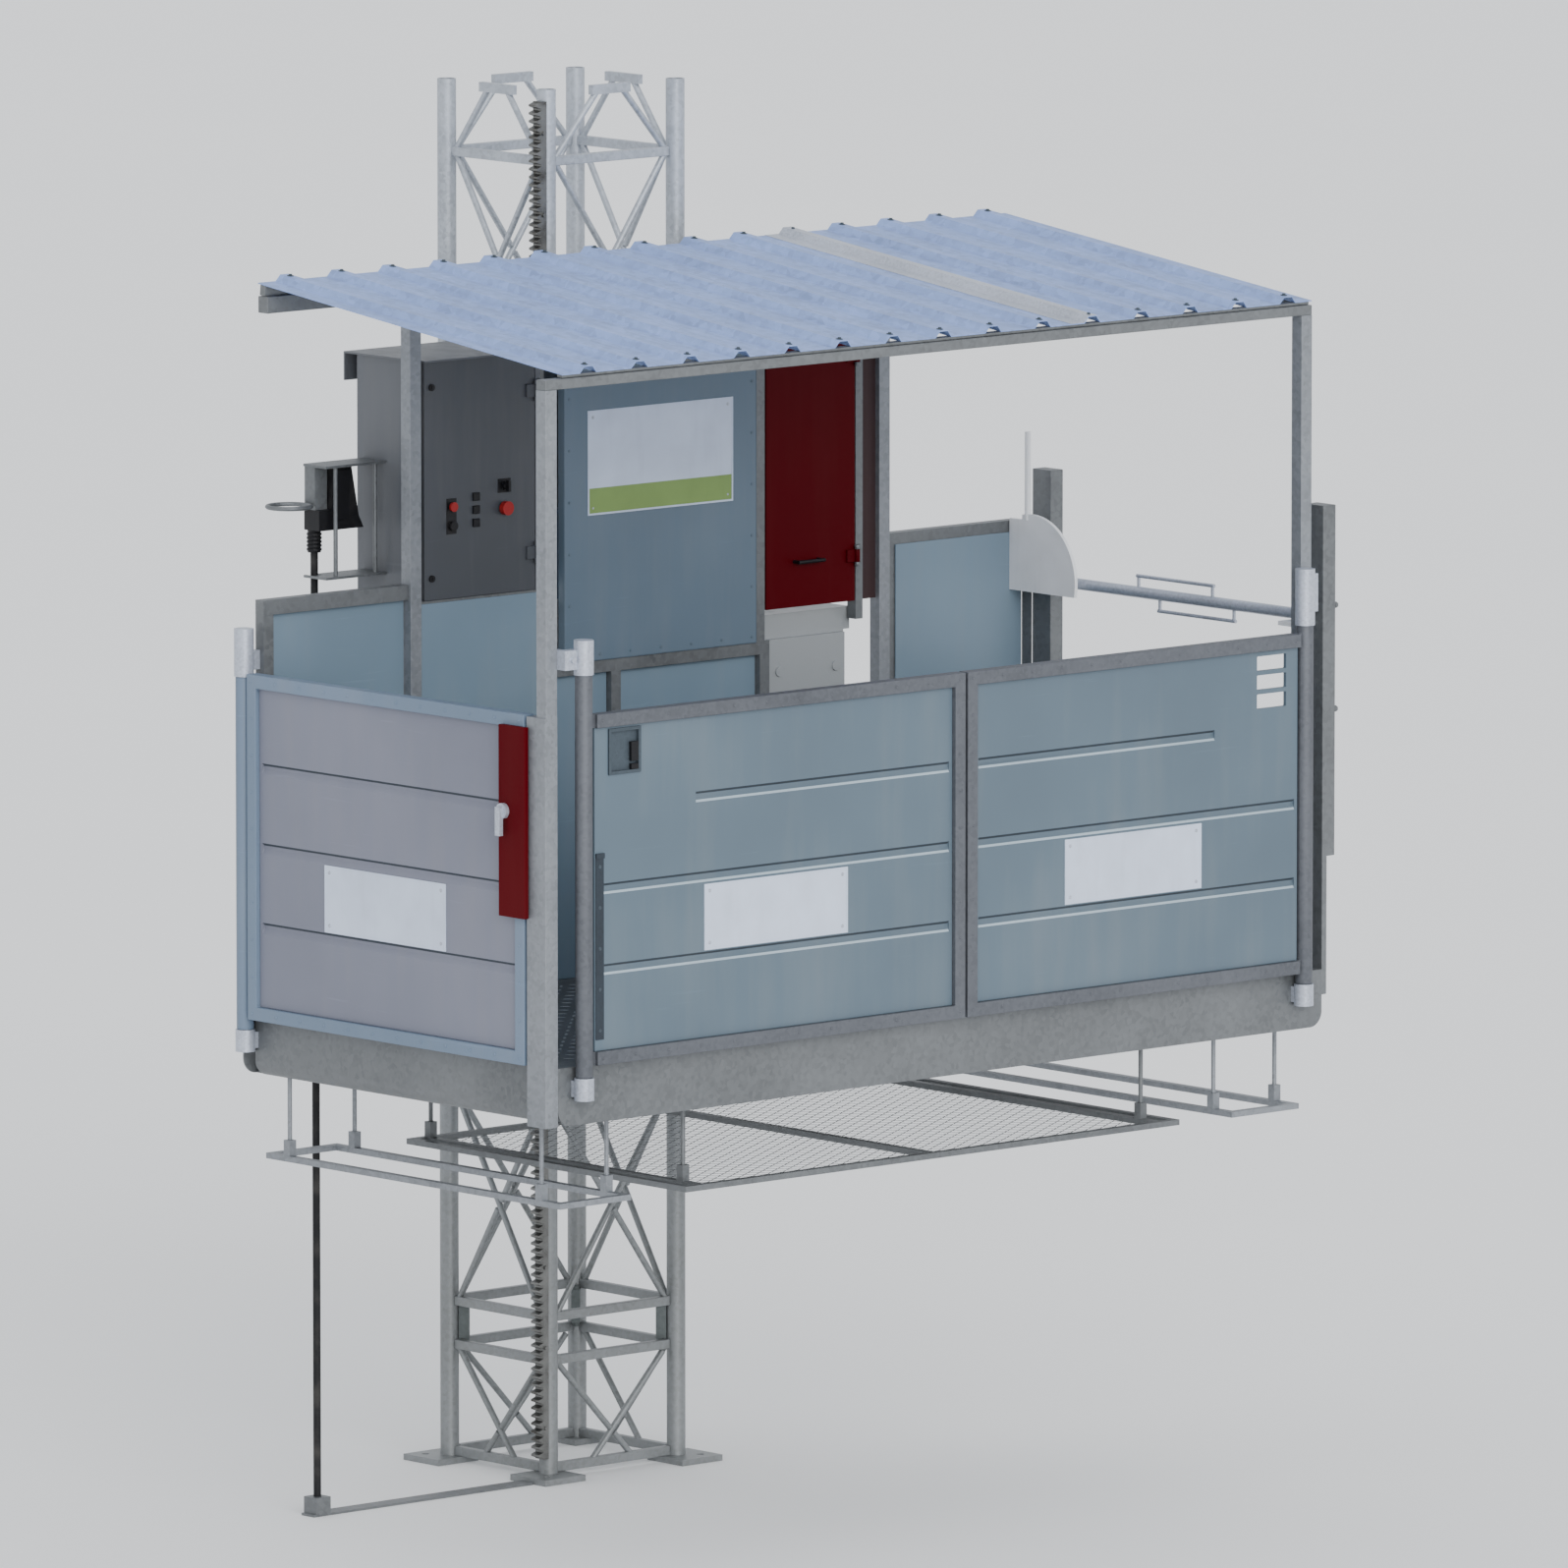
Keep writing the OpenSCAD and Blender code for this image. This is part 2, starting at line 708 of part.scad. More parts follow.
// A pinion set to the rack: its tooth gap faces a rack tooth, turned on by the height over that tooth
module pinion(z) {
  over = lift_h + z - joints[0] - pitch / 2;
  turn = -over / pinion_r * 180 / PI;
  color("dimgray") on_platform() translate([pinion_x, pinion_y, z]) {
    rotate([90, 0, 0]) rotate([0, 0, turn + 180 / pinion_teeth])
      linear_extrude(pinion_w, center = true) pinion_shape();
    rotate([90, 0, 0]) cylinder(h = pinion_y - drive_y0 + 55, r = shaft_r);
    rotate([-90, 0, 0]) cylinder(h = pinion_w / 2 + 10, r = 30, $fn = 6);
  }
}

module service_box() {
  x0 = wall_x1 + 70;
  front = W - 44;
  rear = W + 70;
  mid = low_z + 210;
  color("lightgray") on_platform() {
    box(x0, x0 + 340, front, rear, low_z - 50, mid);
    box(x0 - 6, x0 + 366, front, rear, mid, red_z0 - 23);
    box(x0 + 10, x0 + 330, front - 18, front, low_z + 20, mid - 6);
    for (x = [x0 + 50, x0 + 290])
      rod_y(x, low_z + 100, front - 24, front - 18, 16);
  }
}

// Door knuckles: the door lies to the left of the axis, the fixed side to the right
knuckle_y = wall_y - 10;
knuckle_h = 40;

module knuckle_moving(x, z) {
  difference() {
    union() {
      rod(x, knuckle_y, z, z + knuckle_h, 9);
      box(x - 40, x, wall_y - 8, wall_y, z, z + knuckle_h);
    }
    rod(x, knuckle_y, z - 1, z + knuckle_h + 1, 5 + run);
  }
}

module knuckle_fixed(x, z) {
  rod(x, knuckle_y, z - 14, z + knuckle_h + 14, 5);
  for (z0 = [z - 14, z + knuckle_h + 1]) {
    rod(x, knuckle_y, z0, z0 + 13, 9);
    box(x, x + 20, wall_y - 8, wall_y, z0, z0 + 13);
  }
}

// Control cabinet
cab_back = wall_y + 320;
lid_over = 55;
lid_drop = 85;
cab_skin = 3;
cab_door_t = 18;
cab_hinge_z = [cab_z0 + 100, cab_z1 - 140];
stop_at = [996, cab_z0 + 270];
switch_at = [1000, cab_z0 + 340];
start_at = [782, cab_z0 + 290];
lower_at = [782, cab_z0 + 230];

module cabinet() {
  y0 = wall_y + cab_door_t + 2;
  y1 = cab_back - cab_skin;
  color("gray") on_platform() {
    member(cab_x0, cab_x1, y1, cab_back, cab_z0, cab_z1);
    for (x = [cab_x0, cab_x1 - cab_skin])
      member(x, x + cab_skin, y0, y1, cab_z0, cab_z1);
    for (z = [cab_z0, cab_z1 - cab_skin])
      member(cab_x0 + cab_skin, cab_x1 - cab_skin, y0, y1, z, z + cab_skin);
    member(cab_x0 - 8, cab_x1 + 8, wall_y - 14, cab_back + lid_over, cab_z1, cab_z1 + 6);
    member(cab_x0 - 8, cab_x1 + 8, cab_back + lid_over - 6, cab_back + lid_over, cab_z1 - lid_drop, cab_z1);
    member(cab_x1, cab_x1 + 20, wall_y, wall_y + 120, cab_z0, cab_z1);
    for (z = cab_hinge_z)
      knuckle_fixed(cab_x1 - 1, z);
  }
}

module cabinet_door() {
  color("gray") on_platform()
    difference() {
      union() {
        box(cab_x0 + 1, cab_x1 - 3, wall_y, wall_y + cab_door_t, cab_z0 + 2, cab_z1 - 2);
        for (z = cab_hinge_z)
          knuckle_moving(cab_x1 - 1, z);
      }
      for (p = [stop_at, switch_at, start_at, lower_at])
        rod_y(p[0], p[1], wall_y - 1, wall_y + cab_door_t + 1, 8 + run);
    }
}

module button(p, r, head) {
  on_platform() {
    rod_y(p[0], p[1], wall_y - 8 - head, wall_y - 8, r);
    rod_y(p[0], p[1], wall_y - 8, wall_y + 10, 8);
  }
}

module stop_mushroom() {
  color("red") button(stop_at, 22, 18);
}

module start_button() {
  color("orangered") button(start_at, 15, 8);
}

module lower_button() {
  color("black") button(lower_at, 15, 8);
}

module mode_switch() {
  color("black") {
    button(switch_at, 14, 8);
    on_platform()
      box(switch_at[0] - 5, switch_at[0] + 5, wall_y - 28, wall_y - 16, switch_at[1] - 18, switch_at[1] + 18);
  }
}

// Cable arm on the left side of the cabinet
arm_z0 = cab_at(0.094);
arm_z1 = cab_at(0.56);
socket_z0 = cab_at(0.294);
step_z = cab_at(0.38);
ring_z = cab_at(0.401);
ring_r = 68;
wire_r = 7;
cable_top = cab_at(0.2);
socket_x0 = 428;
gland_in = 10;

module cable_bracket() {
  color("silver") on_platform() {
    difference() {
      for (z = [arm_z0, arm_z1])
        member(socket_x0 - 5, cab_x0, cable_y - 90, cable_y + 20, z, z + 8);
      box(cable_x - 18, cable_x + 18, cable_y - 18, cable_y + 21, arm_z0 - 1, arm_z0 + 9);
    }
    member(socket_x0, socket_x0 + 50, cable_y - 30, cable_y + 20, step_z, arm_z1);
    for (x = [socket_x0 + 50, cab_x0 - 30])
      rod(x, cable_y - 70, arm_z0 + 8, arm_z1, wire_r);
    translate([socket_x0 - 80, cable_y, ring_z])
      rotate_extrude()
        translate([ring_r, 0]) circle(r = wire_r);
    rod_x(cable_y, ring_z, socket_x0 - 8, socket_x0, wire_r);
  }
}

module cable_socket() {
  color("black") on_platform() {
    translate([0, cable_y + 22, 0]) rotate([90, 0, 0])
      linear_extrude(72)
        polygon([[socket_x0, socket_z0], [socket_x0 + 182, socket_z0], [socket_x0 + 162, socket_z0 + 40],
                 [socket_x0 + 132, arm_z1], [socket_x0 + 62, arm_z1], [socket_x0 + 50, step_z],
                 [socket_x0, step_z]]);
    rod(cable_x, cable_y, cable_top, socket_z0 + gland_in, 21);
  }
}

// Right end boom
boom_x = L - 21;
boom_z = 1306;
boom_pivot_y = W - 210;
boom_tip_y = 70;
boom_r = 18;
boom_pin_r = 12;
pivot_x0 = L - 60;
pivot_t = 12;

module boom_bracket() {
  quarter = 210;
  pivot_x1 = pivot_x0 + pivot_t;
  color("gainsboro") on_platform() {
    intersection() {
      rod_x(boom_pivot_y + 20, boom_z, pivot_x0, pivot_x1, quarter);
      box(pivot_x0, pivot_x1, boom_pivot_y - 200, boom_pivot_y + 60, boom_z - 40, boom_z + quarter);
    }
    box(pivot_x0, pivot_x1, boom_pivot_y + 60, wall_y - seat, boom_z - 40, boom_z + 190);
    rod_x(boom_pivot_y, boom_z, pivot_x1, boom_x + boom_r, boom_pin_r);
    rod(pivot_x0 + pivot_t / 2, boom_pivot_y + 40, boom_z + quarter - 20, 1780, 10);
    box(front_post_x + 5, L - 5, post_s, 110, boom_z - boom_r - 14, boom_z - boom_r - run);
  }
}

module boom() {
  wire = 6;
  rise = 52;
  loops = [[480, 840, 1], [380, 740, -1]];
  color("silver") on_platform()
    difference() {
      union() {
        rod_x(boom_pivot_y, boom_z, boom_x - boom_r - 2, boom_x + boom_r + 2, 30);
        rod_y(boom_x, boom_z, boom_tip_y, boom_pivot_y - 20, boom_r);
        for (h = loops) {
          z1 = boom_z + h[2] * rise;
          rod_y(boom_x, z1, h[0], h[1], wire);
          for (y = [h[0] + 8, h[1] - 8])
            rod(boom_x, y, min(boom_z, z1), max(boom_z, z1), wire - 0.5);
        }
      }
      rod_x(boom_pivot_y, boom_z, boom_x - 40, boom_x + 40, boom_pin_r + run);
    }
}

// Right end ramp, folded up in the rest pose
ramp_x = L + 30;
ramp_z = 140;
ramp_top = 930;
ramp_y0 = column_y + 12;
ramp_y1 = W - 232;

module ramp() {
  span = ramp_y1 - ramp_y0;
  color("silver") on_platform() {
    box(ramp_x - 5, ramp_x + 5, ramp_y0, ramp_y1, ramp_z + 36, ramp_top);
    for (f = [0.02, 0.35, 0.65, 0.98])
      box(ramp_x + 5, ramp_x + 24, ramp_y0 + f * span - 12, ramp_y0 + f * span + 12, ramp_z + 60, ramp_top - 40);
    rod_y(ramp_x, ramp_z, ramp_y0, ramp_y1, 9);
    for (f = [0.05, 0.5, 0.95])
      box(ramp_x - 5, ramp_x + 5, ramp_y0 + f * span - 30, ramp_y0 + f * span + 30, ramp_z, ramp_z + 36);
  }
}

module ramp_lugs() {
  span = ramp_y1 - ramp_y0;
  for (f = [0.2, 0.8])
    difference() {
      box(L, ramp_x + 18, ramp_y0 + f * span - 20, ramp_y0 + f * span + 20, ramp_z - 18, ramp_z + 18);
      rod_y(ramp_x, ramp_z, ramp_y0 + f * span - 21, ramp_y0 + f * span + 21, 9 + run);
    }
}

// Red service panel beside the machine wall
red_x0 = wall_x1 + 42;
red_x1 = red_x0 + 376;
red_z0 = rail_z + 140;
red_hinge_z = [red_z0 + 125, wall_z1 - 150];

module service_door() {
  color("firebrick") on_platform() {
    box(red_x0, red_x1, wall_y, wall_y + 20, red_z0, wall_z1);
    for (z = red_hinge_z)
      knuckle_moving(red_x1 + 2, z);
  }
}

module service_jamb() {
  box(red_x1 + 4, red_x1 + 34, wall_y, wall_y + 40, red_z0 - 60, wall_z1);
  for (z = red_hinge_z)
    knuckle_fixed(red_x1 + 2, z);
}

// Dark sheet that closes the bay between the door's jamb and the rear post
module door_filler() {
  color("darkslategray") on_platform()
    box(red_x1 + 34 + seat, rear_post_x[1] - seat, wall_y + 14, wall_y + 20, red_z0, wall_z1);
}

// Gate leaves: frame with boards, drawn along X from the hinge side, thickness centred on Y = 0.
// The width first is that of the stile beside the hinge; without one the boards start there.
stile = 42;
board_t = 14;
bead_h = 34;
bead_d = 8;
bead_end = 14;
leaf_z0 = base_h + 4;
leaf_mid = L / 2 + 35;
stile_lugs = [leaf_z0 + 90, gate_top - 150];
rail_lugs = [leaf_z0, gate_top - stile];
bead_at = [0.25, 0.5, 0.75];

module leaf_frame(len, first) {
  difference() {
    box(0, len, -leaf_t / 2, leaf_t / 2, leaf_z0, gate_top);
    box(first, len - stile, -leaf_t, leaf_t, leaf_z0 + stile, gate_top - stile);
  }
}

// A bead pressed into the front of the boards: short slope above, long slope below
module bead(x0, x1, z) {
  face = -board_t / 2;
  floor = face + bead_d;
  half = bead_h / 2;
  translate([x0, 0, z]) rotate([90, 0, 90])
    linear_extrude(x1 - x0)
      polygon([[face - 1, half], [face, half], [floor, half - bead_d],
               [floor, 2 * bead_d - half], [face, -half], [face - 1, -half]]);
}

// Boards with three beads: the top bead leaves out the part skip of the length
module leaf_boards(len, first, skip) {
  x0 = first + seat;
  x1 = len - stile - seat;
  z0 = leaf_z0 + stile + seat;
  z1 = gate_top - stile - seat;
  difference() {
    box(x0, x1, -board_t / 2, board_t / 2, z0, z1);
    for (i = [0:2])
      bead(x0 + bead_end + (i == 2 ? (x1 - x0) * skip : 0), x1 - bead_end, z0 + (z1 - z0) * bead_at[i]);
  }
}

// Hinge tube with its two lugs; the leaf starts at the distance reach along X
module leaf_tube(z1, reach, lugs, lug_h) {
  difference() {
    union() {
      rod(0, 0, tube_z0, z1, hinge_d / 2);
      for (z = lugs)
        box(0, reach, -9, 9, z, z + lug_h);
    }
    rod(0, 0, tube_z0 - 1, z1 + 1, pin_r + run);
  }
}

leaf_reach = hinge_d / 2 + leaf_gap;
left_len = leaf_mid - leaf_gap / 2 - leaf_hinge_x[0] - leaf_reach;
right_len = leaf_hinge_x[1] - leaf_reach - leaf_mid - leaf_gap / 2;
door_len = door_hinge_y - leaf_reach - column_y - leaf_gap;
latch_z0 = gate_top - stile - 150;
latch_z1 = gate_top - stile - 8;
latch_x = stile + 14;
latch_w = 130;

module at_left_leaf() {
  on_platform() translate([leaf_hinge_x[0], hinge_off, 0]) children();
}

module at_right_leaf() {
  on_platform() translate([leaf_hinge_x[1], hinge_off, 0]) mirror([1, 0, 0]) children();
}

module at_door() {
  on_platform() translate([hinge_off, door_hinge_y, 0]) rotate([0, 0, -90]) children();
}

module leaf_left_frame() {
  color("gray") at_left_leaf() {
    leaf_tube(tube_z1, leaf_reach, rail_lugs, stile);
    translate([leaf_reach, 0, 0]) leaf_frame(left_len, -1);
  }
}

module latch_hole(grow) {
  translate([leaf_reach, 0, 0])
    box(latch_x - grow, latch_x + latch_w + grow, -20, 20, latch_z0 - grow, latch_z1 + grow);
}

module leaf_left_infill() {
  color("slategray") at_left_leaf()
    difference() {
      translate([leaf_reach, 0, 0]) leaf_boards(left_len, 0, 0.27);
      latch_hole(seat);
    }
}

module leaf_left_latch() {
  y0 = -board_t / 2 - 4;
  color("darkslategray") at_left_leaf()
    difference() {
      intersection() {
        latch_hole(0);
        translate([leaf_reach, y0, 0]) box(0, 400, 0, board_t + 8, 0, 2000);
      }
      translate([leaf_reach + latch_x, y0 - 1, 0])
        box(10, latch_w - 10, 0, 12, latch_z0 + 10, latch_z1 - 10);
    }
}

module leaf_right_frame() {
  color("gray") at_right_leaf() {
    leaf_tube(tube_z1 - 100, leaf_reach, rail_lugs, stile);
    translate([leaf_reach, 0, 0]) leaf_frame(right_len, -1);
  }
}

module leaf_right_infill() {
  slot_h = 46;
  color("slategray") at_right_leaf()
    difference() {
      translate([leaf_reach, 0, 0]) leaf_boards(right_len, 0, 0.25);
      for (i = [0:2])
        translate([leaf_reach, 0, 0])
          box(stile + 8, stile + 133, -20, 20, gate_top - stile - 62 - i * 60, gate_top - stile - 62 - i * 60 + slot_h);
    }
}

module left_door_frame() {
  color("steelblue") at_door() {
    leaf_tube(door_tube_z1, leaf_reach, stile_lugs, 60);
    translate([leaf_reach, 0, 0]) leaf_frame(door_len, stile);
  }
}

module left_door_infill() {
  color("lightslategray") at_door()
    translate([leaf_reach, 0, 0]) leaf_boards(door_len, stile, 0);
}

// Red lock cover on the free end of the left door, with the latch lever on it
cover_x1 = hinge_off - leaf_t / 2 - run;
cover_x0 = cover_x1 - 16;
lever_y = 168;
lever_z = 965;

module lock_cover() {
  color("crimson") on_platform()
    difference() {
      box(cover_x0, cover_x1, 72, 195, 640, gate_top - 36);
      rod_x(lever_y, lever_z, cover_x0 - 1, cover_x1 + 1, 9 + run);
    }
}

module latch_handle() {
  color("silver") on_platform() {
    rod_x(lever_y, lever_z, cover_x0 - run, cover_x1 - 1, 9);
    rod_x(lever_y, lever_z, cover_x0 - 14, cover_x0 - run, 24);
    box(cover_x0 - 28, cover_x0 - 14, lever_y - 11, lever_y + 11, lever_z - 75, lever_z + 14);
  }
}

// Contact frames under the base, each on rods that slide up in bores of the bearers
contact_z = -265;
bar_w = 26;
bar_h = 18;
hanger_r = 7;
hanger_top = 90;
bearer_x = [63, 327, L - 327, L - 63];
member_x = [0.2 * L, 0.8 * L];
hanger_y = [150, W - 150];

module contact_bars(x0, x1, y0, y1) {
  z0 = contact_z;
  z1 = contact_z + bar_h;
  for (y = [y0, y1 - bar_w])
    member(x0 + bar_w, x1 - bar_w, y, y + bar_w, z0, z1);
  for (x = [x0, x1 - bar_w])
    member(x, x + bar_w, y0, y1, z0, z1);
}

module hangers(xs) {
  z1 = contact_z + bar_h;
  foot_h = 50;
  for (x = xs, y = hanger_y) {
    rod(x, y, z1 + foot_h, hanger_top, hanger_r);
    member(x - 14, x + 14, y - 14, y + 14, z1, z1 + foot_h);
  }
}

module contact_left() {
  color("silver") on_platform() {
    contact_bars(50, 340, 50, W - 50);
    hangers([bearer_x[0], bearer_x[1]]);
  }
}

module contact_right() {
  color("silver") on_platform() {
    contact_bars(L - 340, L - 50, 50, W - 50);
    hangers([bearer_x[2], bearer_x[3]]);
  }
}

// The middle frame carries two sheets and stands on two hanger bars
module contact_middle() {
  x0 = 565;
  x1 = L - 565;
  y0 = 50;
  y1 = W - 120;
  mid = L / 2;
  mesh_t = 3;
  color("silver") on_platform() {
    contact_bars(x0, x1, y0, y1);
    member(mid - bar_w / 2, mid + bar_w / 2, y0 + bar_w, y1 - bar_w, contact_z, contact_z + bar_h);
    for (x = member_x)
      member(x - bar_w / 2, x + bar_w / 2, y0 + bar_w, y1 - bar_w, contact_z, contact_z + bar_h);
    hangers(member_x);
    for (x = [[x0 + bar_w, member_x[0] - bar_w / 2], [member_x[0] + bar_w / 2, mid - bar_w / 2],
        [mid + bar_w / 2, member_x[1] - bar_w / 2], [member_x[1] + bar_w / 2, x1 - bar_w]])
      member(x[0], x[1], y0 + bar_w, y1 - bar_w, contact_z, contact_z + mesh_t);
  }
}

module hanger_bores() {
  for (x = concat(bearer_x, member_x), y = hanger_y)
    rod(x, y, -1, hanger_top + 70, hanger_r + run);
}

mast_feet();
mast_posts();
mast_rings();
mast_braces();
mast_rack();
mast_couplers();
trailing_cable();
cable_foot();
base_frame();
floor_plate();
roof_posts();
roof_beams();
roof_sheet();
rear_rails();
rear_infill();
machine_wall();
door_filler();
end_posts();
hinge_blocks();
carriage_frame();
roller_brackets();
gearboxes();
motors();
safety_brake();
service_box();
cabinet();
cable_bracket();
cable_socket();
boom_bracket();
pinion(pinion_z[1]);  // pinion_lower
pinion(pinion_z[2]);  // pinion_upper
pinion(pinion_z[0]);  // pinion_safety
roller(0, 0, 0);  // roller_a
roller(0, 1, 0);  // roller_b
roller(1, 0, 0);  // roller_c
roller(1, 1, 0);  // roller_dd
roller(0, 0, 1);  // roller_e
roller(0, 1, 1);  // roller_f
roller(1, 0, 1);  // roller_g
roller(1, 1, 1);  // roller_h
left_door_frame();
left_door_infill();
lock_cover();
latch_handle();
leaf_left_frame();
leaf_left_infill();
leaf_left_latch();
leaf_right_frame();
leaf_right_infill();
boom();
ramp();
service_door();
cabinet_door();
stop_mushroom();
start_button();
lower_button();
mode_switch();
contact_left();
contact_middle();
contact_right();
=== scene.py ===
# %% [markdown]
# # A rack and pinion material hoist
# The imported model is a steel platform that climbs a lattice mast. Its solids are already in
# place and in scale, so this lesson only dresses them: finishes for every solid, and the
# small pieces that steelwork shows up close.

# %% Load the frame
import json
import math

import bmesh
import bpy
from mathutils import Matrix, Vector


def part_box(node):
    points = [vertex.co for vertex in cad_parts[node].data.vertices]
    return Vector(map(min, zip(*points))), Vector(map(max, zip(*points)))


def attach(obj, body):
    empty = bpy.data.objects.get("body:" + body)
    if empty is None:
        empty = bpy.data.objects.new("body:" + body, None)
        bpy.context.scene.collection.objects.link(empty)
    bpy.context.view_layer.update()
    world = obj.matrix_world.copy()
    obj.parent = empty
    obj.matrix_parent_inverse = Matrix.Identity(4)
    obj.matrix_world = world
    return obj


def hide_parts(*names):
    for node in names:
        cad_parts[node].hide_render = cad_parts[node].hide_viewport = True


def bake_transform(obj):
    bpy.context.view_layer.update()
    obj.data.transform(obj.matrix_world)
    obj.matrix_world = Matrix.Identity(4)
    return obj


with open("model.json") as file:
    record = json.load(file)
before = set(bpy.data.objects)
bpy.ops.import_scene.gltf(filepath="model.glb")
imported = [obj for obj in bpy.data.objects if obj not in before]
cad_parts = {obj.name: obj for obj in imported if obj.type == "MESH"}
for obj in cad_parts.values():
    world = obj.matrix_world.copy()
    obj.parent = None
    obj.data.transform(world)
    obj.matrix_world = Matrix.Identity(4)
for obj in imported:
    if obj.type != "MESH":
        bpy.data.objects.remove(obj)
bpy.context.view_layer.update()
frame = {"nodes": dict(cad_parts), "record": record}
nodes = frame["nodes"]

# %% [markdown]
# ## Camera
# A catalogue view is taken from far off with a long lens, so that upright posts stay parallel.
# A camera without perspective would draw them so too, but a real lens keeps a trace of depth.
# The camera therefore stands 60 m away and looks a little down on the front left corner.

# %% Camera
FRAME_PX = 1596
PX_PER_METRE = 325.8
VIEW_TURN = math.radians(41.75)
VIEW_DROP = math.radians(7.65)
VIEW_TARGET = Vector((-0.152, -1.230, 2.315))
VIEW_DISTANCE = 60.0
VIEW_END = 500.0
SENSOR_MM = 36.0

view_line = Vector((
    math.sin(VIEW_TURN) * math.cos(VIEW_DROP),
    math.cos(VIEW_TURN) * math.cos(VIEW_DROP),
    -math.sin(VIEW_DROP),
))
camera_data = bpy.data.cameras.new("studio_camera")
camera_data.sensor_width = SENSOR_MM
camera_data.lens = SENSOR_MM * PX_PER_METRE * VIEW_DISTANCE / FRAME_PX
camera_data.clip_end = VIEW_END
camera = bpy.data.objects.new("studio_camera", camera_data)
camera.location = VIEW_TARGET - view_line * VIEW_DISTANCE
camera.rotation_mode = "QUATERNION"
camera.rotation_quaternion = view_line.to_track_quat("-Z", "Y")
bpy.context.scene.collection.objects.link(camera)
bpy.context.scene.camera = camera
print("lens in mm:", round(camera_data.lens, 1))

# %% [markdown]
# ## Shader sums
# Finishes are easier to read as sums than as node graphs. They could be linked node by node,
# but that takes three lines for every plus sign. Wire wraps one output socket instead: adding
# or multiplying wires adds Math nodes. Every other node comes from the one method of NodeTree,
# and a Finish has short names for the nodes that it needs most.

# %% Wires and node trees
class Wire:
    """One output socket in a node tree; arithmetic on it adds Math nodes."""

    def __init__(self, owner, socket):
        self.owner = owner
        self.socket = socket

    def maths(self, operation, first, second):
        return self.owner.node("ShaderNodeMath", {0: first, 1: second}, operation=operation)

    def __add__(self, other):
        return self.maths("ADD", self, other)

    def __radd__(self, other):
        return self.maths("ADD", other, self)

    def __mul__(self, other):
        return self.maths("MULTIPLY", self, other)

    def __rmul__(self, other):
        return self.maths("MULTIPLY", other, self)


class NodeTree:
    """A node tree in which one method makes every node."""

    def __init__(self, tree):
        self.tree = tree

    def node(self, kind, inputs=None, out=0, stops=None, **settings):
        """Adds a node and returns one of its outputs; an input is a value or a Wire."""
        made = self.tree.nodes.new(kind)
        for key, value in settings.items():
            setattr(made, key, value)
        if stops:
            ramp = made.color_ramp
            while len(ramp.elements) < len(stops):
                ramp.elements.new(1.0)
            for element, (position, colour) in zip(ramp.elements, stops):
                element.position = position
                element.color = opaque(colour)
        for key, value in (inputs or {}).items():
            self.join(value, made.inputs[key])
        return Wire(self, made.outputs[out])

    def join(self, value, socket):
        if isinstance(value, Wire):
            self.tree.links.new(value.socket, socket)
        else:
            socket.default_value = value

# %% Finishes
class Finish(NodeTree):
    """A material with one Principled shader, and short ways to the nodes that feed it."""

    def __init__(self, name, metallic=0.0, **fixed):
        self.material = bpy.data.materials.new(name)
        self.material.use_nodes = True
        super().__init__(self.material.node_tree)
        self.shader = self.tree.nodes["Principled BSDF"]
        self.feed(Metallic=metallic, **fixed)
        self.place = self.node("ShaderNodeTexCoord", out="Object")

    def feed(self, **inputs):
        """Sets or links sockets of the shader, and returns the material."""
        for key, value in inputs.items():
            self.join(value, self.shader.inputs[key.replace("_", " ")])
        return self.material

    def stretched(self, x, y, z):
        """Object coordinates times a factor on each axis; a small one draws a pattern out."""
        return self.node("ShaderNodeMapping", {"Vector": self.place, "Scale": (x, y, z)})

    def height(self):
        return self.node("ShaderNodeSeparateXYZ", {"Vector": self.place}, out="Z")

    def noise(self, scale, detail=3.0, vector=None):
        inputs = {"Vector": vector or self.place, "Scale": scale, "Detail": detail}
        return self.node("ShaderNodeTexNoise", inputs)

    def cells(self, scale):
        """Cells with a random colour each; scale is how many fit in a metre."""
        inputs = {"Vector": self.place, "Scale": scale}
        return self.node("ShaderNodeTexVoronoi", inputs, out="Color")

    def grey(self, colour):
        return self.node("ShaderNodeRGBToBW", {"Color": colour})

    def between(self, value, low, high, to_low=0.0, to_high=1.0):
        """Maps low to to_low and high to to_high, and goes no further beyond either."""
        inputs = {"Value": value, 1: low, 2: high, 3: to_low, 4: to_high}
        return self.node("ShaderNodeMapRange", inputs)

    def mix(self, factor, first, second):
        """Mixes two colours, on the sockets that the Mix node keeps for colours."""
        sockets = {0: factor, 6: first, 7: second}
        return self.node("ShaderNodeMix", sockets, out=2, data_type="RGBA")

    def ramp(self, value, *stops):
        """Colours by value; each stop is a position and its colour."""
        return self.node("ShaderNodeValToRGB", {"Fac": value}, stops=stops)

    def bump(self, height, distance):
        inputs = {"Height": height, "Distance": distance, "Strength": 1.0}
        return self.node("ShaderNodeBump", inputs)

# %% Colours
def linear(red, green, blue):
    """An sRGB colour from 0 to 255, as the linear numbers that shaders take."""
    def one(value):
        share = value / 255
        return share / 12.92 if share <= 0.04045 else ((share + 0.055) / 1.055) ** 2.4
    return one(red), one(green), one(blue)


def opaque(colour):
    return (*colour, 1.0)


def shade(colour, factor):
    return tuple(min(1.0, channel * factor) for channel in colour)


print("middle grey in linear numbers:", round(linear(128, 128, 128)[0], 3))

# %% [markdown]
# ## Floor and light
# The floor is a plain pale sheet that fills the picture. Lamps with soft boxes could light the
# front, but other views would find the back and the underside dark. A broad sun from the front
# left gives the faces different tones instead. A sky that is pale grey at the sides and white
# overhead fills the shadows and gives bare metal something to reflect.

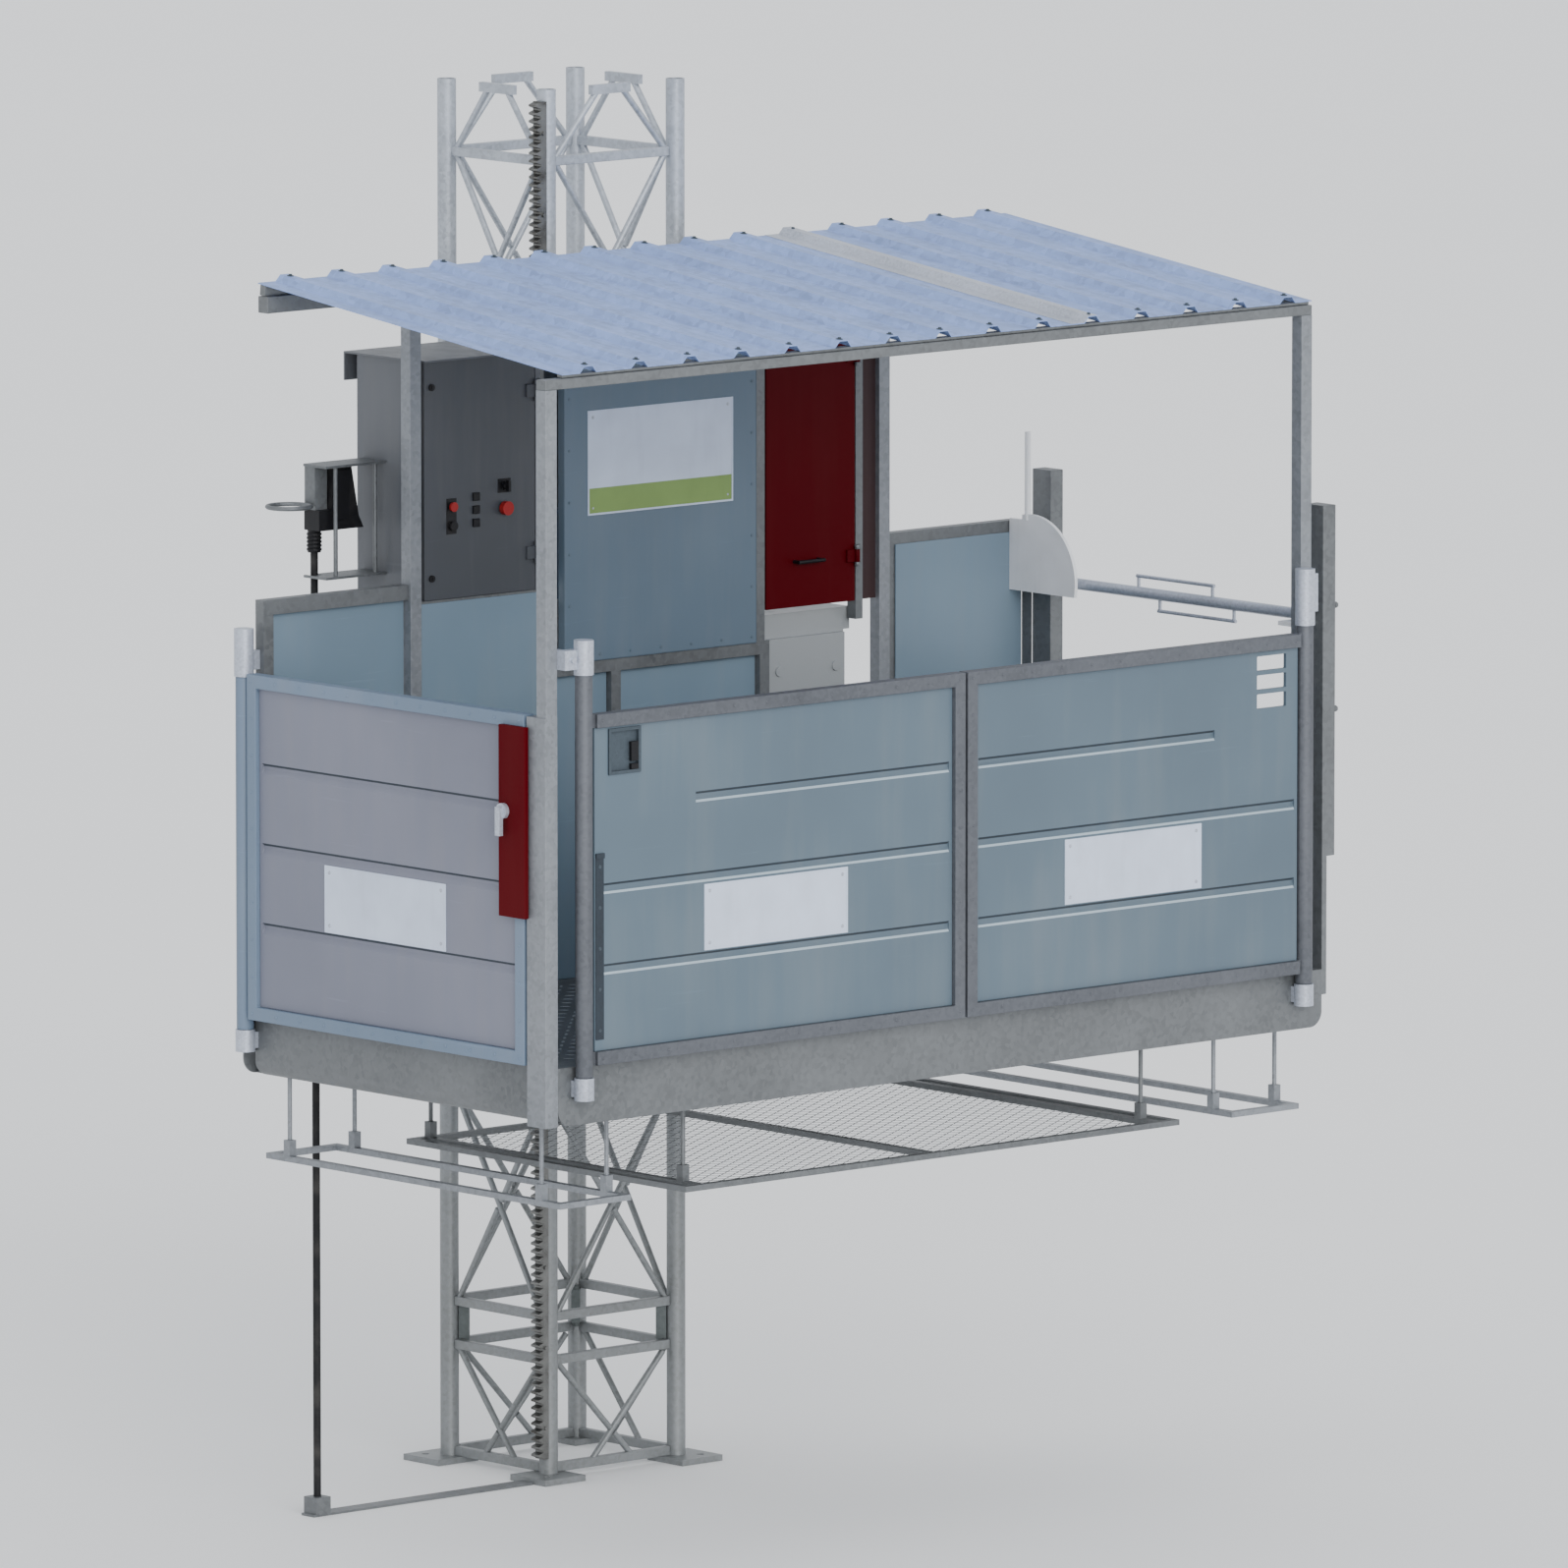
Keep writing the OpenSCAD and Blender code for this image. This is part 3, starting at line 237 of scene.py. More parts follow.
# %% Floor
FLOOR_HALF = 160.0

floor_mesh = bpy.data.meshes.new("studio_floor")
floor_mesh.from_pydata(
    [(x * FLOOR_HALF, y * FLOOR_HALF, 0.0) for x, y in ((-1, -1), (1, -1), (1, 1), (-1, 1))],
    [], [(0, 1, 2, 3)])
floor = bpy.data.objects.new("studio_floor", floor_mesh)
bpy.context.scene.collection.objects.link(floor)
paper = Finish("studio_paper")
paper_tone = paper.mix(paper.noise(0.4), opaque(linear(250, 250, 250)), opaque(linear(246, 247, 248)))
floor_mesh.materials.append(paper.feed(Base_Color=paper_tone, Roughness=0.9))
print("floor width in metres:", 2 * FLOOR_HALF)

# %% Lights
SUN_STRENGTH = 2.4
SKY_STRENGTH = 1.2
SUN_FROM = Vector((-0.38, -0.92, 0.36))
SUN_WIDTH = math.radians(45)
SKY_STOPS = ((0.0, (230, 233, 237)), (0.2, (236, 238, 242)), (0.5, (226, 231, 237)), (1.0, (252, 253, 255)))

sun_data = bpy.data.lights.new("studio_sun", "SUN")
sun_data.energy = SUN_STRENGTH
sun_data.angle = SUN_WIDTH
sun = bpy.data.objects.new("studio_sun", sun_data)
sun.rotation_mode = "QUATERNION"
sun.rotation_quaternion = SUN_FROM.to_track_quat("Z", "Y")
bpy.context.scene.collection.objects.link(sun)

sky = bpy.data.worlds.new("studio_sky")
sky.use_nodes = True
sky_tree = NodeTree(sky.node_tree)
sky_shader = sky.node_tree.nodes["Background"]
sky_way = sky_tree.node("ShaderNodeTexCoord", out="Generated")
sky_rise = sky_tree.node("ShaderNodeSeparateXYZ", {"Vector": sky_way}, out="Z")
sky_stops = [(position, linear(*tone)) for position, tone in SKY_STOPS]
sky_tone = sky_tree.node("ShaderNodeValToRGB", {"Fac": sky_rise}, stops=sky_stops)
sky_tree.join(sky_tone, sky_shader.inputs["Color"])
sky_tree.join(SKY_STRENGTH, sky_shader.inputs["Strength"])
bpy.context.scene.world = sky
print("sun:", SUN_STRENGTH, "sky:", SKY_STRENGTH)

# %% [markdown]
# ## Zinc
# Almost every section of such a hoist is dipped in molten zinc. The coat freezes into spangles
# a thumbnail wide, each with its own tone and gloss, under soft clouds of grey. A picture of zinc
# could be laid on the steel, but it would have to be fitted to each section and would repeat.
# Cells give the spangle here, slow noise the clouds, and a gentle bump the wavy reflections of a
# dipped surface, at one scale on every piece.

# %% Zinc finishes
def zinc(name, tone, spangle=70.0, gloss=0.36, wave=0.0012, metallic=0.45, streak=None, low_darkening=None):
    """Hot dipped zinc: tone is the middle colour, spangle the cells in a metre.

    The three factors in streak draw the drips out along the axes. The last pair holds the
    heights over which the colour goes from darker at the lower one to plain at the upper one.
    """
    coat = Finish(name, metallic)
    grain = coat.grey(coat.cells(spangle))
    cloud = coat.noise(5.0, 4.0)
    drips = coat.noise(9.0, 3.0, coat.stretched(*streak)) if streak else coat.noise(2.2, 2.0)
    level = coat.between(grain * 0.35 + cloud * 0.45 + drips * 0.5, 0.35, 0.95)
    colour = coat.ramp(level, (0.0, shade(tone, 0.72)), (0.5, tone), (1.0, shade(tone, 1.22)))
    # Darker towards the bottom, fading out between the two given heights.
    if low_darkening:
        low_darkening_mask = coat.between(coat.height() + cloud * 0.4, low_darkening[0], low_darkening[1], 0.60, 0.0)
        colour = coat.mix(low_darkening_mask, colour, opaque(linear(88, 87, 76)))
    ripple = coat.noise(7.0, 1.0) + grain * 0.05
    return coat.feed(
        Base_Color=colour,
        Roughness=gloss + grain * 0.12 + cloud * 0.12,
        Normal=coat.bump(ripple, wave),
    )


finish = {
    "galvanised": zinc("dipped_zinc", linear(108, 111, 113), wave=0.005),
    "bright_zinc": zinc("bright_zinc", linear(178, 184, 196), spangle=160.0, gloss=0.26, wave=0.0008),
    "leaf_frame": zinc("dull_zinc", linear(92, 95, 101), spangle=90.0, gloss=0.46, metallic=0.4),
    "latch_plate": zinc("latch_zinc", linear(72, 82, 90), spangle=120.0, gloss=0.5, wave=0.0008,
                        metallic=0.5),
    "roof_sheet": zinc("rolled_zinc", linear(142, 165, 214), spangle=45.0, gloss=0.40, wave=0.0010,
                       metallic=0.35, streak=(6.0, 0.4, 1.0)),
}
# The mast's zinc is darker towards the foot and plain from 3.4 m up.
mast_zinc = zinc("mast_zinc", linear(168, 174, 182), spangle=90.0, gloss=0.32, wave=0.0015, low_darkening=(0.9, 3.4))
coupler_zinc = zinc("coupler_zinc", linear(86, 92, 92), spangle=90.0, gloss=0.42, wave=0.0015)
post_zinc = zinc("post_zinc", linear(132, 136, 141), spangle=80.0, wave=0.003)
print("zinc finishes:", sorted(finish))

# %% [markdown]
# ## Steel, cast and machined
# The rack, pinions and rollers are bare steel under an oily film, brown where it gathers and
# bright where it is rubbed off, and castings have a sandy skin under brushed paint. A mask made
# from the shape could find the tooth roots, but at this size patches of noise look the same and
# suit any mesh.

# %% Steel finishes
def oiled_steel(name, tone):
    """Bare steel under a patchy film of oil."""
    steel = Finish(name, 0.9)
    film = steel.noise(14.0, 5.0)
    speck = steel.noise(220.0, 2.0)
    colour = steel.ramp(
        steel.between(film * 0.8 + speck * 0.2, 0.3, 0.7),
        (0.0, shade(linear(70, 66, 60), 0.8)), (0.45, tone), (1.0, shade(tone, 1.35)))
    return steel.feed(
        Base_Color=colour,
        Roughness=0.30 + film * 0.28,
        Normal=steel.bump(speck, 0.0004),
    )


def cast_paint(name, tone):
    """Brushed enamel over a sandy casting."""
    paint = Finish(name)
    sand = paint.noise(260.0, 3.0)
    dirt = paint.noise(8.0, 4.0)
    worn = paint.between(dirt, 0.62, 0.72)
    colour = paint.mix(worn * 0.5, opaque(tone), opaque(shade(tone, 0.45)))
    return paint.feed(
        Base_Color=colour,
        Roughness=0.42 + worn * 0.3,
        Normal=paint.bump(sand, 0.0006),
    )


finish["gear_steel"] = oiled_steel("oiled_steel", linear(112, 112, 110))
finish["casting_grey"] = cast_paint("casting_grey", linear(150, 154, 156))
finish["motor_paint"] = cast_paint("motor_blue", linear(70, 92, 118))
finish["brake_paint"] = cast_paint("brake_yellow", linear(196, 150, 40))
print("finishes with steel and castings:", len(finish))

# %% [markdown]
# ## Painted sheet
# The gates, walls and doors are pressed sheet under powder coat. Close up such a coat has a
# fine orange peel. From a few steps off it shows rain streaks, patches of dust and faint rubbed
# lines where loads have brushed past. These could be painted by hand on unwrapped panels. Noise
# that is stretched upright for the rain, and level for the rubbing, needs no unwrapping.

# %% Paint finishes
def powder_coat(name, tone, gloss=0.42, grime=0.5, rub=0.25, sheen=0.4):
    """Paint on sheet: grime is the weight of the dust, rub that of the rubbed lines."""
    coat = Finish(name, Specular_IOR_Level=sheen)
    peel = coat.noise(420.0, 2.0)
    cloud = coat.noise(1.6, 3.0)
    rain = coat.noise(16.0, 4.0, coat.stretched(1.0, 1.0, 0.10))
    scuff = coat.noise(30.0, 5.0, coat.stretched(0.12, 0.12, 2.4))
    dust = coat.between(rain * 0.6 + cloud * 0.5, 0.52, 0.80)
    marks = coat.between(scuff, 0.66, 0.74)
    base = coat.ramp(cloud, (0.25, shade(tone, 0.90)), (0.5, tone), (0.8, shade(tone, 1.10)))
    dusty = coat.mix(dust * (grime * 0.22), base, opaque(linear(158, 154, 146)))
    colour = coat.mix(marks * rub, dusty, opaque(shade(tone, 1.45)))
    return coat.feed(
        Base_Color=colour,
        Roughness=gloss + dust * 0.18 + marks * 0.08,
        Normal=coat.bump(peel, 0.0003),
    )


finish["blue_grey"] = powder_coat("blue_grey_coat", linear(86, 102, 114))
finish["door_frame"] = powder_coat("frame_blue_coat", linear(103, 120, 140))
finish["lilac_grey"] = powder_coat("lilac_coat", linear(113, 116, 130))
finish["red_paint"] = powder_coat("red_coat", linear(78, 0, 9), gloss=0.5, grime=0.08, rub=0.03, sheen=0.06)
# The cabinet's coat is lightened as painted light for its lit side, and its door's coat is darkened as
# painted shade under the roof.
finish["cabinet_grey"] = powder_coat("cabinet_coat", linear(91, 94, 99))
cabinet_door_coat = powder_coat("cabinet_door_coat", linear(67, 70, 75))
# The infill and wall coats are lightened copies of the blue grey, as painted light against the roof's shade.
infill_coat = powder_coat("infill_coat", linear(110, 130, 145))
wall_coat = powder_coat("wall_coat", linear(92, 109, 123))
filler_coat = powder_coat("filler_coat", linear(62, 46, 47), gloss=0.5, grime=0.15, rub=0.02, sheen=0.15)
print("finishes with paint:", len(finish))

# %% [markdown]
# ## Tread plate, rubber and plastic
# The deck is rolled plate, worn unevenly by feet and loads. The cable is rubber, dull and dusty,
# and the buttons are moulded plastic with a satin skin. A function for each would repeat most of
# its lines, so one makes rubber and plastic alike, and only the metal plate has its own.

# %% Deck, rubber and plastic
def deck_plate(name):
    """Rolled plate with wide and fine patches of wear."""
    plate = Finish(name, 0.75)
    wear = plate.noise(2.5, 4.0)
    fine = plate.noise(60.0, 4.0)
    colour = plate.ramp(
        plate.between(wear * 0.4 + fine * 0.6, 0.3, 0.7),
        (0.0, linear(92, 93, 92)), (0.5, linear(114, 116, 117)), (1.0, linear(136, 138, 140)))
    return plate.feed(
        Base_Color=colour,
        Roughness=0.40 + fine * 0.25,
        Normal=plate.bump(fine, 0.0006),
    )


def moulded(name, tone, gloss, grain, dusty):
    """Rubber or plastic: grain is how fine its pores are, dusty the weight of the dust."""
    skin = Finish(name, Specular_IOR_Level=0.25)
    pores = skin.noise(grain, 2.0)
    dust = skin.between(skin.noise(12.0, 4.0), 0.5, 0.8)
    colour = skin.mix(dust * dusty, opaque(tone), opaque(linear(120, 116, 110)))
    return skin.feed(
        Base_Color=colour,
        Roughness=gloss + dust * 0.15,
        Normal=skin.bump(pores, 0.0004),
    )


finish["floor_plate"] = deck_plate("tread_plate")
finish["black_rubber"] = moulded("black_rubber", linear(24, 24, 26), gloss=0.62, grain=700.0, dusty=0.25)
finish["black_plastic"] = moulded("black_plastic", linear(20, 20, 23), gloss=0.38, grain=900.0, dusty=0.10)
finish["button_red"] = moulded("button_red", linear(150, 30, 30), gloss=0.36, grain=900.0, dusty=0.06)
print("finishes in all:", len(finish))

# %% [markdown]
# ## Dress the solids
# The record says which finish each solid carries, so one loop hands them out, and a short list
# gives a few solids a tone of their own. Among these, the rear infill and the machine wall have
# lightened coats as painted light, and the cabinet door has a darkened coat as painted shade.
# Real hollow sections and folded sheet have rounded corners. The solids could have them too, at
# the cost of many faces in every tool. A weld and a narrow bevel are added as modifiers instead,
# and they leave the meshes below untouched.

# %% Hand out the finishes
OWN_FINISH = {
    "boom": finish["bright_zinc"], "roof_posts": post_zinc, "mast_couplers": coupler_zinc,
    "door_filler": filler_coat, "rear_infill": infill_coat, "machine_wall": wall_coat,
    "cabinet_door": cabinet_door_coat, "contact_left": post_zinc, "contact_right": post_zinc,
}

for part in frame["record"]["subparts"]:
    mesh = nodes[part["node"]].data
    mesh.materials.clear()
    mast_part = part["node"].startswith("mast_") and part["material_slot"] == "galvanised"
    mesh.materials.append(mast_zinc if mast_part else finish[part["material_slot"]])
for name, coat in OWN_FINISH.items():
    nodes[name].data.materials[0] = coat
print("solids with a tone of their own:", len(OWN_FINISH))

# %% Rounded edges
MERGE = 0.00002
EDGE_ROUND = 0.0025
EDGE_ANGLE = math.radians(50)
SQUARE_PIECES = (
    "base_frame", "roof_posts", "roof_beams", "rear_rails", "rear_infill", "machine_wall",
    "end_posts", "carriage_frame", "service_box", "cabinet_door", "cable_socket", "ramp",
    "left_door_frame", "left_door_infill", "leaf_left_frame", "leaf_left_infill",
    "leaf_right_frame", "leaf_right_infill", "lock_cover", "service_door", "mast_rings",
)

for name in SQUARE_PIECES:
    weld = nodes[name].modifiers.new("join_faces", "WELD")
    weld.merge_threshold = MERGE
    edge = nodes[name].modifiers.new("round_edges", "BEVEL")
    edge.width = EDGE_ROUND
    edge.segments = 2
    edge.limit_method = "ANGLE"
    edge.angle_limit = EDGE_ANGLE
    edge.use_clamp_overlap = True
print("solids with rounded edges:", len(SQUARE_PIECES))

# %% [markdown]
# ## Small helpers for new pieces
# New pieces are drawn in the platform's own frame, whose origin is the lower front left corner
# of the base. They could be drawn at the origin and moved, but a finish that reads Object
# coordinates would then start afresh on every piece. So a piece is finished when its place is in
# its mesh, it has a finish and it rides on the body that it is fixed to.

# %% Places
PLATFORM = Vector(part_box("base_frame")[0])


def on_platform(x, y, z):
    """A point of the platform's frame, in the shared frame, in metres."""
    return PLATFORM + Vector((x, y, z))


def face_point(x, z, face):
    """A point on a face towards the front: face is its Y, x and z are in the platform's frame."""
    return Vector((PLATFORM.x + x, face, PLATFORM.z + z))


def middle(node):
    """The middle of a solid's box."""
    low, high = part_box(node)
    return (low + high) / 2


print("corner of the platform:", [round(v, 3) for v in PLATFORM])

# %% Pieces
def piece(name, mesh, slot, body, material=None):
    """Makes a finished piece of a mesh that is already in the shared frame."""
    made = bpy.data.objects.new(name, mesh)
    bpy.context.scene.collection.objects.link(made)
    mesh.materials.clear()
    mesh.materials.append(material or finish[slot])
    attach(made, body)
    print(name, "faces:", len(mesh.polygons))
    return made


def mesh_of(form, name):
    """Turns a bmesh into a mesh with its faces pointing outwards."""
    bmesh.ops.recalc_face_normals(form, faces=form.faces)
    mesh = bpy.data.meshes.new(name)
    form.to_mesh(mesh)
    form.free()
    return mesh


def formed(name, form, slot, body, material=None):
    """Makes a finished piece of a bmesh."""
    return piece(name, mesh_of(form, name), slot, body, material)

# %% Blocks, rods and prisms
ROD_SIDES = 24


def add_block(form, low, high, edge=0.0):
    """Adds a box between two corners, with its edges rounded by the width edge."""
    place = Matrix.Translation((low + high) / 2) @ Matrix.Diagonal((*(high - low), 1.0))
    corners = bmesh.ops.create_cube(form, size=1.0, matrix=place)["verts"]
    if edge:
        edges = list(dict.fromkeys(e for v in corners for e in v.link_edges))
        bmesh.ops.bevel(form, geom=edges, offset=edge, segments=2, affect="EDGES", profile=0.5)


def add_rod(form, start, end, radius):
    """Adds a closed round bar between two points."""
    line = end - start
    turn = line.to_track_quat("Z", "Y").to_matrix().to_4x4()
    place = Matrix.Translation((start + end) / 2) @ turn
    bmesh.ops.create_cone(form, cap_ends=True, segments=ROD_SIDES, radius1=radius, radius2=radius,
                          depth=line.length, matrix=place)


def add_prism(form, outlines):
    """Adds a strip of even thickness between two outlines, which run out along one side and back."""
    rings = [[form.verts.new(point) for point in outline] for outline in outlines]
    count = len(rings[0])
    for i in range(count):
        j = (i + 1) % count
        form.faces.new((rings[0][i], rings[0][j], rings[1][j], rings[1][i]))
    for ring in rings:
        for i in range(count // 2 - 1):
            form.faces.new((ring[i], ring[i + 1], ring[count - 2 - i], ring[count - 1 - i]))

# %% [markdown]
# ## Trees that grow pieces
# What repeats or follows a path is grown by Geometry Nodes. Loops in mesh code could do the
# same, but a tree is built once, has its sizes as named inputs and serves any number of points.
# A Grower closes its tree with Realize Instances and Set Material, because a mesh file keeps
# no instances. The grown mesh is taken as a plain mesh, and the object that held the modifier is
# removed.

# %% Growers
class Grower(NodeTree):
    """A Geometry Nodes tree with named inputs, which grows a mesh from a start mesh."""

    def __init__(self, name, **inputs):
        super().__init__(bpy.data.node_groups.new(name, "GeometryNodeTree"))
        labels = {"start": "Geometry", **inputs, "finish": "Material"}
        for label, kind in labels.items():
            self.tree.interface.new_socket(label, in_out="INPUT", socket_type="NodeSocket" + kind)
        self.tree.interface.new_socket("grown", in_out="OUTPUT", socket_type="NodeSocketGeometry")
        sockets = self.tree.nodes.new("NodeGroupInput").outputs
        self.given = {label: Wire(self, sockets[label]) for label in labels}

    def joined(self, *parts):
        made = self.node("GeometryNodeJoinGeometry")
        for part in parts:
            self.join(part, made.socket.node.inputs[0])
        return made

    def carried(self, name):
        """The vector of that name on each point of the start mesh."""
        inputs = {"Name": name}
        return self.node("GeometryNodeInputNamedAttribute", inputs, "Attribute", data_type="FLOAT_VECTOR")

    def stand(self, instance, points, **turn):
        """Stands a copy of the instance on every point."""
        inputs = {"Points": points, "Instance": instance, **turn}
        return self.node("GeometryNodeInstanceOnPoints", inputs)

    def close(self, geometry):
        real = self.node("GeometryNodeRealizeInstances", {"Geometry": geometry})
        painted = self.node("GeometryNodeSetMaterial", {"Geometry": real, "Material": self.given["finish"]})
        self.join(painted, self.tree.nodes.new("NodeGroupOutput").inputs["grown"])
        print("tree", self.tree.name, "with inputs:", list(self.given))
        return self

    def grow(self, name, start, **values):
        """The plain mesh that the tree grows from a start mesh."""
        holder = bpy.data.objects.new(name + "_start", start)
        bpy.context.scene.collection.objects.link(holder)
        modifier = holder.modifiers.new("grow", "NODES")
        modifier.node_group = self.tree
        for item in self.tree.interface.items_tree:
            if item.name in values:
                modifier[item.identifier] = values[item.name]
        depsgraph = bpy.context.evaluated_depsgraph_get()
        mesh = bpy.data.meshes.new_from_object(holder.evaluated_get(depsgraph))
        mesh.name = name
        bpy.data.objects.remove(holder)
        return mesh

# %% Points that carry a vector
def point_cloud(name, label, points, vectors):
    """A start mesh of loose points that carry one vector each."""
    cloud = bpy.data.meshes.new(name + "_points")
    cloud.from_pydata(points, [], [])
    carried = cloud.attributes.new(label, "FLOAT_VECTOR", "POINT")
    for item, vector in zip(carried.data, vectors):
        item.vector = vector
    return cloud

# %% [markdown]
# ## Trailing cable
# The hoist takes its power through a rubber cable that hangs from a socket on the platform to
# a clamp on the ground. One long cylinder would look right at rest. A tree sweeps a circle along
# a straight path of short steps.

# %% Tube tree
def tube_tree():
    """A tree that sweeps a circle along a line."""
    tree = Grower("swept_tube", radius="Float", sides="Int")
    curve = tree.node("GeometryNodeMeshToCurve", {"Mesh": tree.given["start"]})
    circle = tree.node("GeometryNodeCurvePrimitiveCircle", {
        "Radius": tree.given["radius"], "Resolution": tree.given["sides"]})
    tube = tree.node("GeometryNodeCurveToMesh", {
        "Curve": curve, "Profile Curve": circle, "Fill Caps": True})
    return tree.close(tube)


TUBES = tube_tree()

# %% Cable
CABLE_STEP = 0.12
CABLE_SIDES = 20

cable_low, cable_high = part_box("trailing_cable")
cable_x, cable_y, _ = middle("trailing_cable")
cable_radius = (cable_high.x - cable_low.x) / 2
cable_length = cable_high.z - cable_low.z
cable_count = round(cable_length / CABLE_STEP) + 1
cable_path = [
    Vector((cable_x, cable_y, cable_high.z - cable_length * i / (cable_count - 1)))
    for i in range(cable_count)
]
cable_line = bpy.data.meshes.new("power_cable_line")
cable_line.from_pydata(cable_path, [(i, i + 1) for i in range(cable_count - 1)], [])
tube = TUBES.grow("power_cable", cable_line, radius=cable_radius, sides=CABLE_SIDES,
                  finish=finish["black_rubber"])
form = bmesh.new()
form.from_mesh(tube)
cable_mesh = mesh_of(form, "power_cable")
for face in cable_mesh.polygons:
    face.use_smooth = True
cable_mesh.materials.append(finish["black_rubber"])
cable = bpy.data.objects.new("power_cable", cable_mesh)
bpy.context.scene.collection.objects.link(cable)
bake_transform(cable)
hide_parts("trailing_cable")
print("cable length in metres:", round(cable_length, 3))

# %% [markdown]
# ## Screws, rivets and bolts
# Steelwork is held by hundreds of small heads. Bump in a finish could hint at them, but it throws
# no shadow and is lost in a mesh file. A tree stands a head on every point of a cloud: a dome or
# a six sided head, with or without a washer, turned to the direction that the point carries. Each
# group of heads becomes one mesh on its body.

# %% Fastener trees
WASHER_SIDES = 12
WASHER_SHARE = 0.4


def head_tree(name, sides, taper, washers=True):
    """A tree that stands a head on each point; taper is the share of its radius left at the top."""
    sizes = ("head_radius", "head_height", "washer_radius") if washers else ("head_radius", "head_height")
    tree = Grower(name, **dict.fromkeys(sizes, "Float"))
    radius, height = tree.given["head_radius"], tree.given["head_height"]
    head = tree.node("GeometryNodeMeshCone", {
        "Vertices": sides, "Radius Bottom": radius, "Radius Top": radius * taper, "Depth": height})
    if washers:
        washer = tree.node("GeometryNodeMeshCylinder", {
            "Vertices": WASHER_SIDES, "Radius": tree.given["washer_radius"], "Depth": height * WASHER_SHARE})
        head = tree.joined(head, washer)
    turn = tree.node("FunctionNodeAlignRotationToVector", {"Vector": tree.carried("axis")}, axis="Z")
    return tree.close(tree.stand(head, tree.given["start"], Rotation=turn))


HEX_TREE = head_tree("hex_heads", sides=6, taper=0.92)
PLAIN_HEX_TREE = head_tree("plain_hex_heads", sides=6, taper=0.92, washers=False)
DOME_TREE = head_tree("dome_heads", sides=10, taper=0.45)

# %% Groups of heads
FRONT = Vector((0, -1, 0))
LEFT = Vector((-1, 0, 0))


def fasteners(name, heads, tree, slot, body, radius, height, washer=0.0):
    """Stands heads, a list of points and directions, on a body as one piece."""
    cloud = point_cloud(name, "axis", [place for place, _ in heads], [way for _, way in heads])
    mesh = tree.grow(name, cloud, head_radius=radius, head_height=height, washer_radius=washer,
                     finish=finish[slot])
    return piece(name, mesh, slot, body)


def row(ends, count, direction):
    """Heads at even steps between two ends, facing direction."""
    start, end = ends
    return [(start.lerp(end, i / (count - 1)), direction) for i in range(count)]

# %% [markdown]
# ### Rivets of the gates
# The boards of each gate are riveted to the two rails and to the stiles. A front leaf has one
# stile, as its boards start at the hinge tube. The rivets sit in the middle of the frame's face.
# Their places could be listed, but they are worked out from the boards' box, so that they follow
# when a gate changes its size.

# %% Rivets on a frame
RIVET = {"radius": 0.0045, "height": 0.0024, "washer": 0.006}
STILE = 0.042
LEAF_HALF = 0.022
RAIL_RIVETS = 12
STILE_RIVETS = 8


def frame_rivets(low, high, across, facing, stiles):
    """Rivets on a frame's rails and on the stiles it has; across is its horizontal axis, 0 or 1."""
    first = low[across] + STILE / 2
    last = high[across] - STILE / 2
    lower = low.z + STILE / 2
    upper = high.z - STILE / 2

    def at(along, height):
        spot = Vector((0.0, 0.0, height))
        spot[across] = along
        spot[1 - across] = low[1 - across]
        return spot

    heads = []
    for height in (lower, upper):
        heads += row((at(first, height), at(last, height)), RAIL_RIVETS, facing)
    inner = (upper - lower) / (STILE_RIVETS + 1)
    for along, width in zip((first, last), stiles):
        if width:
            ends = at(along, lower + inner), at(along, upper - inner)
            heads += row(ends, STILE_RIVETS, facing)
    return heads

# %% Rivets on the three gates
GATES = (
    ("leaf_left", 0, FRONT, "leaf_frame", (0.0, STILE)),
    ("leaf_right", 0, FRONT, "leaf_frame", (STILE, 0.0)),
    ("left_door", 1, LEFT, "door_frame", (STILE, STILE)),
)
for gate, across, facing, slot, stiles in GATES:
    low, high = (Vector(corner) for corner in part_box(gate + "_infill"))
    low.z -= STILE
    high.z += STILE
    low[across] -= stiles[0]
    high[across] += stiles[1]
    low[1 - across] = (low[1 - across] + high[1 - across]) / 2 - LEAF_HALF
    heads = frame_rivets(low, high, across, facing, stiles)
    fasteners(gate + "_rivets", heads, DOME_TREE, slot=slot, body=gate, **RIVET)

# %% [markdown]
# ## Plates
# Each gate and the machine wall carry an enamelled plate. The plates are left bare: a white
# face, a thin raised rim and four rivets. The one on the wall has a green band at its foot. They
# could be patches in the paint, but a rim and an edge catch the light, so each is a thin body.

# %% Enamel finishes
def enamel(name, tone):
    """Enamel with faint clouds and rain streaks."""
    coat = Finish(name, Specular_IOR_Level=0.35)
    cloud = coat.noise(9.0, 3.0)
    rain = coat.between(coat.noise(24.0, 4.0, coat.stretched(1.0, 1.0, 0.12)), 0.55, 0.85)
    peel = coat.noise(500.0, 2.0)
    tint = coat.ramp(cloud, (0.3, shade(tone, 0.94)), (0.7, shade(tone, 1.05)))
    colour = coat.mix(rain * 0.22, tint, opaque(shade(tone, 0.62)))
    return coat.feed(Base_Color=colour, Roughness=0.34 + rain * 0.2, Normal=coat.bump(peel, 0.0002))


white_enamel = enamel("white_enamel", linear(197, 208, 226))
green_enamel = enamel("green_enamel", linear(124, 152, 84))
# The quarter disc on the boom bracket is white enamel, lightened beyond the plates' enamel as painted light.
disc_enamel = enamel("disc_enamel", linear(232, 234, 236))
nodes["boom_bracket"].data.materials[0] = disc_enamel
print("enamels:", white_enamel.name, green_enamel.name, disc_enamel.name)

# %% A bare plate
PLATE_T = 0.0018
PLATE_EDGE = 0.0004
RIM_W = 0.006
RIM_OUT = 0.003
RIM_EDGE = 0.0003
RIVET_INSET = 0.022


